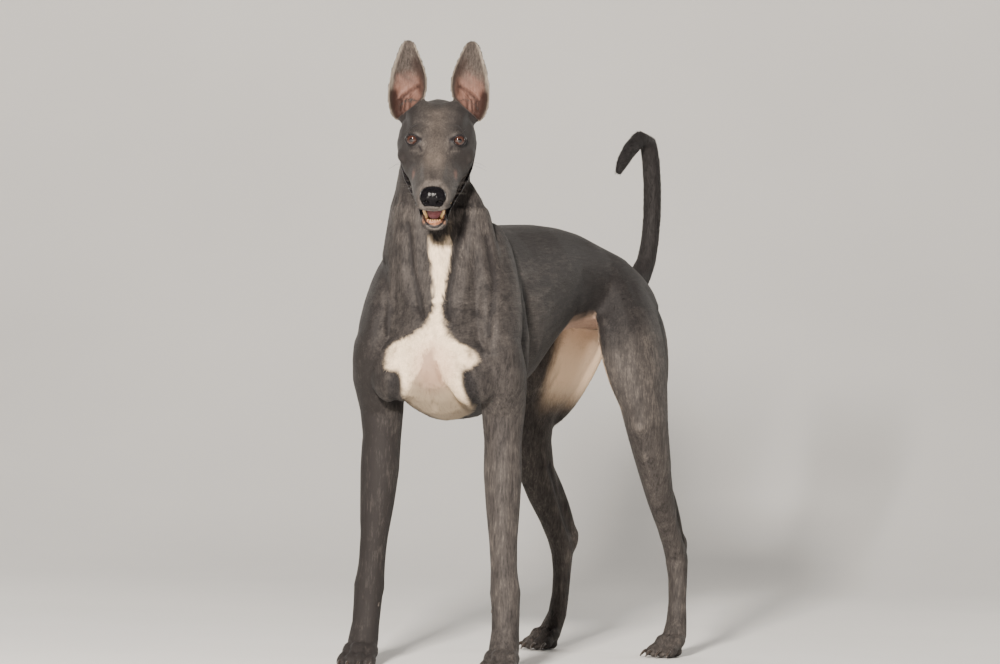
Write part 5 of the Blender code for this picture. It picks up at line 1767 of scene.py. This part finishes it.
def build_coat(name, names, seed, material):
    """One piece of the coat: solid tufts along the lie, finest on the face and feet."""
    looks = bpy.context.scene.greyhound_coat
    rng = np.random.default_rng(seed)
    fields = SKIN["fields"]
    corners, faces = tuft_shape()
    tris, mix = tuft_roots(names, rng, looks.most_tufts)
    roots = mixed(fields.points, tris, mix)
    up = mixed(fields.normals, tris, mix)
    up /= sizes(up)[:, None]
    lie = mixed(fields.lie, tris, mix)
    lie -= up * np.sum(lie * up, axis=1)[:, None]
    lie /= np.maximum(sizes(lie), 1e-6)[:, None]
    across = np.cross(up, lie)
    count = len(roots)
    swerve = rng.normal(0, 0.16, count) + 0.2 * wavy(roots, 46.0, 5.0)
    lie, across = (
        lie * np.cos(swerve)[:, None] + across * np.sin(swerve)[:, None],
        across * np.cos(swerve)[:, None] - lie * np.sin(swerve)[:, None],
    )
    length = mixed(fields.length, tris, mix) * rng.uniform(0.65, 1.2, count) * looks.hair_length
    lift = mixed(fields.lift, tris, mix) + np.abs(rng.normal(0, 0.05, count))
    thick = np.interp(length, TUFT_LENGTHS, TUFT_THICK) * rng.uniform(0.8, 1.25, count)
    share = corners[:, 2][None, :, None]
    slim = 1 - 0.35 * share
    along = lie[:, None, :] * np.cos(lift)[:, None, None] + up[:, None, :] * np.sin(lift)[:, None, None]
    drop = -up[:, None, :] * (np.sin(lift)[:, None, None] * 0.55 * share ** 2)
    spine = roots[:, None, :] - up[:, None, :] * ROOT_DEPTH + (along * share + drop) * length[:, None, None]
    wide = across[:, None, :] * (corners[None, :, 0:1] * thick[:, None, None] * 1.5)
    deep = up[:, None, :] * (corners[None, :, 1:2] * thick[:, None, None] * 0.7)
    points = (spine + (wide + deep) * slim).reshape(-1, 3)
    indices = (faces[None, :, :] + np.arange(count)[:, None, None] * len(corners)).reshape(-1, 3)
    mesh = bpy.data.meshes.new(name)
    mesh.from_pydata(points.tolist(), [], indices.tolist())
    each = len(corners)
    for label, rows in fields.layers():
        set_attribute(mesh, label, np.repeat(mixed(rows, tris, mix), each, axis=0))
    own = np.repeat(rng.normal(0, 1, count), each) * 0.5 + np.tile(corners[:, 2], count) * 0.8
    set_attribute(mesh, "own", own)
    node = fields.node[tris[:, 0]]
    places = unwrap_places(roots, node, names)
    local = np.stack([corners[:, 0], corners[:, 2] * 2 - 1], axis=1) * PATCH / 2
    uv = (places[:, None, :] + local[None, :, :]).reshape(-1, 2)
    layer = mesh.uv_layers.new(name="OFBake")
    layer.data.foreach_set("uv", uv[indices.ravel()].astype(np.float32).ravel())
    link(mesh, name, material)


def floor_material():
    looks = bpy.context.scene.greyhound_stage
    material, shader, surface = new_material("pale_floor", 0.75)
    cloud = shader.range(shader.noise(2.2, 3.0), 0.3, 0.7)
    pale = tuple(looks.floor_colour)
    shader.dress(surface, shader.mix(cloud, tuple(c * 0.96 for c in pale), pale))
    # The sweep is open from behind, so that it hides nothing in the other views
    behind = shader.node("ShaderNodeNewGeometry").outputs["Backfacing"]
    shader.wire(shader.math("SUBTRACT", 1.0, behind), surface.inputs["Alpha"])
    return material


# Half the floor's side, where its sweep starts behind the dog, and the sweep's radius
FLOOR_HALF, SWEEP_START, SWEEP_RADIUS = 12.0, 2.2, 1.6
# What the lamps point at, and how far below their tabled heights they hang
LIT_MIDDLE, LIGHT_DROP = Vector((0, -0.1, 0.5)), 0.3


def build_stage():
    """A pale floor that sweeps up into the backdrop, soft lights and the camera."""
    looks = bpy.context.scene.greyhound_stage
    bm = bmesh.new()
    bmesh.ops.create_grid(bm, x_segments=64, y_segments=64, size=FLOOR_HALF)
    heading = math.radians(CAMERA_AZIMUTH_DEG)
    away = Vector((-math.sin(heading), math.cos(heading), 0))
    for vert in bm.verts:
        depth = vert.co.dot(away) - SWEEP_START
        if depth > 0:
            turn = min(depth / SWEEP_RADIUS, math.pi / 2)
            rest = max(0.0, depth - SWEEP_RADIUS * math.pi / 2)
            vert.co -= away * (depth - SWEEP_RADIUS * math.sin(turn))
            vert.co.z += SWEEP_RADIUS * (1 - math.cos(turn)) + rest
    floor = in_scene("floor", mesh_from(bm, "floor"))
    floor.data.materials.append(floor_material())
    floor.data.shade_smooth()
    # Lights as the viewer sees them: to the right, towards the viewer, up; size, power and colour
    right = Vector((math.cos(heading), math.sin(heading), 0))
    power = looks.light_strength
    lights = (
        ("key_light", (-0.6, 4.0, 1.5), 0.34, 640.0 * power, (1.0, 0.925, 0.84)),
        ("fill_light", (3.0, 2.4, 0.9), 2.0, 9.0 * power, (0.95, 0.97, 1.0)),
        ("left_rim_light", (-2.0, -1.9, 1.2), 0.9, 22.0 * power, (1.0, 0.96, 0.9)),
        ("right_rim_light", (2.1, -1.7, 1.2), 0.9, 24.0 * power, (1.0, 0.96, 0.9)),
        ("top_light", (0.0, -0.2, 3.2), 2.2, 8.0 * power, (0.92, 0.96, 1.0)),
    )
    for name, (aside, ahead, up), size, power, colour in lights:
        data = bpy.data.lights.new(name, "AREA")
        data.size, data.energy, data.color = size, power, colour
        lamp = in_scene(name, data)
        lamp.location = LIT_MIDDLE + right * aside - away * ahead + Vector((0, 0, up - LIGHT_DROP))
        lamp.rotation_euler = (LIT_MIDDLE - lamp.location).to_track_quat("-Z", "Y").to_euler()
    world = bpy.data.worlds.new("pale_studio")
    world.use_nodes = True
    sky = world.node_tree.nodes["Background"].inputs
    sky["Color"].default_value, sky["Strength"].default_value = (0.86, 0.88, 0.92, 1), looks.world_strength
    bpy.context.scene.world = world
    data = bpy.data.cameras.new("camera")
    data.lens, data.sensor_width = CAMERA_LENS, CAMERA_SENSOR
    data.clip_end = 60.0
    camera = in_scene("camera", data)
    camera.location = CAMERA_PLACE
    camera.rotation_euler = camera_turn().to_euler()
    bpy.context.scene.camera = camera


COLOUR = {"subtype": "COLOR", "size": 3, "min": 0, "max": 1}


class GreyhoundCoat(bpy.types.PropertyGroup):
    dark_hair: FloatVectorProperty(
        name="Dark hair", description="The coat in its deepest streaks",
        default=(0.018, 0.0158, 0.0155), **COLOUR)
    grey_hair: FloatVectorProperty(
        name="Grey hair", description="The coat's main slate grey",
        default=(0.052, 0.0455, 0.042), **COLOUR)
    pale_hair: FloatVectorProperty(
        name="Pale hair", description="The coat where single hairs catch the light",
        default=(0.165, 0.14, 0.12), **COLOUR)
    white_hair: FloatVectorProperty(
        name="White hair", description="The blaze of the throat and chest, and the inner thighs",
        default=(0.84, 0.66, 0.46), **COLOUR)
    pink_skin: FloatVectorProperty(
        name="Pink skin", description="Thinly haired skin of the ears, belly and thighs",
        default=(0.36, 0.185, 0.145), **COLOUR)
    hair_length: FloatProperty(
        name="Hair length", description="Length of the tufts against their usual length",
        default=1.0, min=0.2, max=3)
    most_tufts: IntProperty(
        name="Most tufts", description="The most tufts that one piece of the coat may have",
        default=16500, min=100)


class GreyhoundFace(bpy.types.PropertyGroup):
    iris_colour: FloatVectorProperty(
        name="Iris colour", description="The brightest part of the glass iris",
        default=(0.048, 0.021, 0.0155), **COLOUR)
    gaze_spread_deg: FloatProperty(
        name="Gaze spread", description="How far each eye looks out from straight at the viewer, in degrees",
        default=2.0)
    towards_viewer: FloatProperty(
        name="Towards the viewer", description="1 looks at the viewer, and 0 straight out of the lids",
        default=0.35)


class GreyhoundStage(bpy.types.PropertyGroup):
    floor_colour: FloatVectorProperty(
        name="Floor colour", description="The pale floor and backdrop",
        default=(0.78, 0.77, 0.75), **COLOUR)
    light_strength: FloatProperty(
        name="Light strength", description="All the lamps together", default=1.0, min=0)
    world_strength: FloatProperty(
        name="Room light", description="The even light of the room", default=0.07, min=0)


class GREYHOUND_OT_skin(bpy.types.Operator):
    """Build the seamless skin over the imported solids"""

    bl_idname = "greyhound.skin"
    bl_label = "Build skin"

    def execute(self, context):
        build_skin()
        return {"FINISHED"}


class GREYHOUND_OT_eyes(bpy.types.Operator):
    """Build both glass eyes"""

    bl_idname = "greyhound.eyes"
    bl_label = "Build eyes"

    def execute(self, context):
        build_eyes()
        return {"FINISHED"}


class GREYHOUND_OT_nose(bpy.types.Operator):
    """Build the moist nose pad"""

    bl_idname = "greyhound.nose"
    bl_label = "Build nose"

    def execute(self, context):
        build_nose()
        return {"FINISHED"}


class GREYHOUND_OT_mouth(bpy.types.Operator):
    """Build the tongue, the teeth and the black lips"""

    bl_idname = "greyhound.mouth"
    bl_label = "Build mouth"

    def execute(self, context):
        build_tongue()
        build_teeth()
        build_lips()
        return {"FINISHED"}


class GREYHOUND_OT_claws(bpy.types.Operator):
    """Build the claws of all four feet"""

    bl_idname = "greyhound.claws"
    bl_label = "Build claws"

    def execute(self, context):
        build_claws()
        return {"FINISHED"}


class GREYHOUND_OT_whiskers(bpy.types.Operator):
    """Build the whiskers of muzzle, chin and brows"""

    bl_idname = "greyhound.whiskers"
    bl_label = "Build whiskers"

    def execute(self, context):
        build_whiskers()
        return {"FINISHED"}


class GREYHOUND_OT_coat(bpy.types.Operator):
    """Grow the short coat in solid tufts, one piece for each part of the body"""

    bl_idname = "greyhound.coat"
    bl_label = "Grow coat"

    def execute(self, context):
        material = hair_material("coat_tufts", tufts=True)
        for seed, (name, names) in enumerate(COAT_REGIONS.items(), FIRST_COAT_SEED):
            build_coat(name, names, seed, material)
        return {"FINISHED"}


class GREYHOUND_OT_stage(bpy.types.Operator):
    """Set the pale floor, the soft lights and the camera"""

    bl_idname = "greyhound.stage"
    bl_label = "Set stage"

    def execute(self, context):
        build_stage()
        return {"FINISHED"}


OPERATORS = (
    GREYHOUND_OT_skin, GREYHOUND_OT_eyes, GREYHOUND_OT_nose, GREYHOUND_OT_mouth, GREYHOUND_OT_claws,
    GREYHOUND_OT_whiskers, GREYHOUND_OT_coat, GREYHOUND_OT_stage,
)


class GREYHOUND_PT_panel(bpy.types.Panel):
    bl_label = "Greyhound"
    bl_idname = "GREYHOUND_PT_panel"
    bl_space_type = "VIEW_3D"
    bl_region_type = "UI"
    bl_category = "Greyhound"

    def draw(self, context):
        scene = context.scene
        for group in (scene.greyhound_coat, scene.greyhound_face, scene.greyhound_stage):
            box = self.layout.box()
            for name in group.__annotations__:
                box.prop(group, name)
        for operator in OPERATORS:
            self.layout.operator(operator.bl_idname)


CLASSES = (GreyhoundCoat, GreyhoundFace, GreyhoundStage, *OPERATORS, GREYHOUND_PT_panel)


def register():
    for item in CLASSES:
        bpy.utils.register_class(item)
    bpy.types.Scene.greyhound_coat = PointerProperty(type=GreyhoundCoat)
    bpy.types.Scene.greyhound_face = PointerProperty(type=GreyhoundFace)
    bpy.types.Scene.greyhound_stage = PointerProperty(type=GreyhoundStage)


def unregister():
    del bpy.types.Scene.greyhound_stage
    del bpy.types.Scene.greyhound_face
    del bpy.types.Scene.greyhound_coat
    for item in reversed(CLASSES):
        bpy.utils.unregister_class(item)


def main():
    register()
    for operator in OPERATORS:
        module, name = operator.bl_idname.split(".")
        getattr(getattr(bpy.ops, module), name)()


if __name__ == "__main__":
    main()
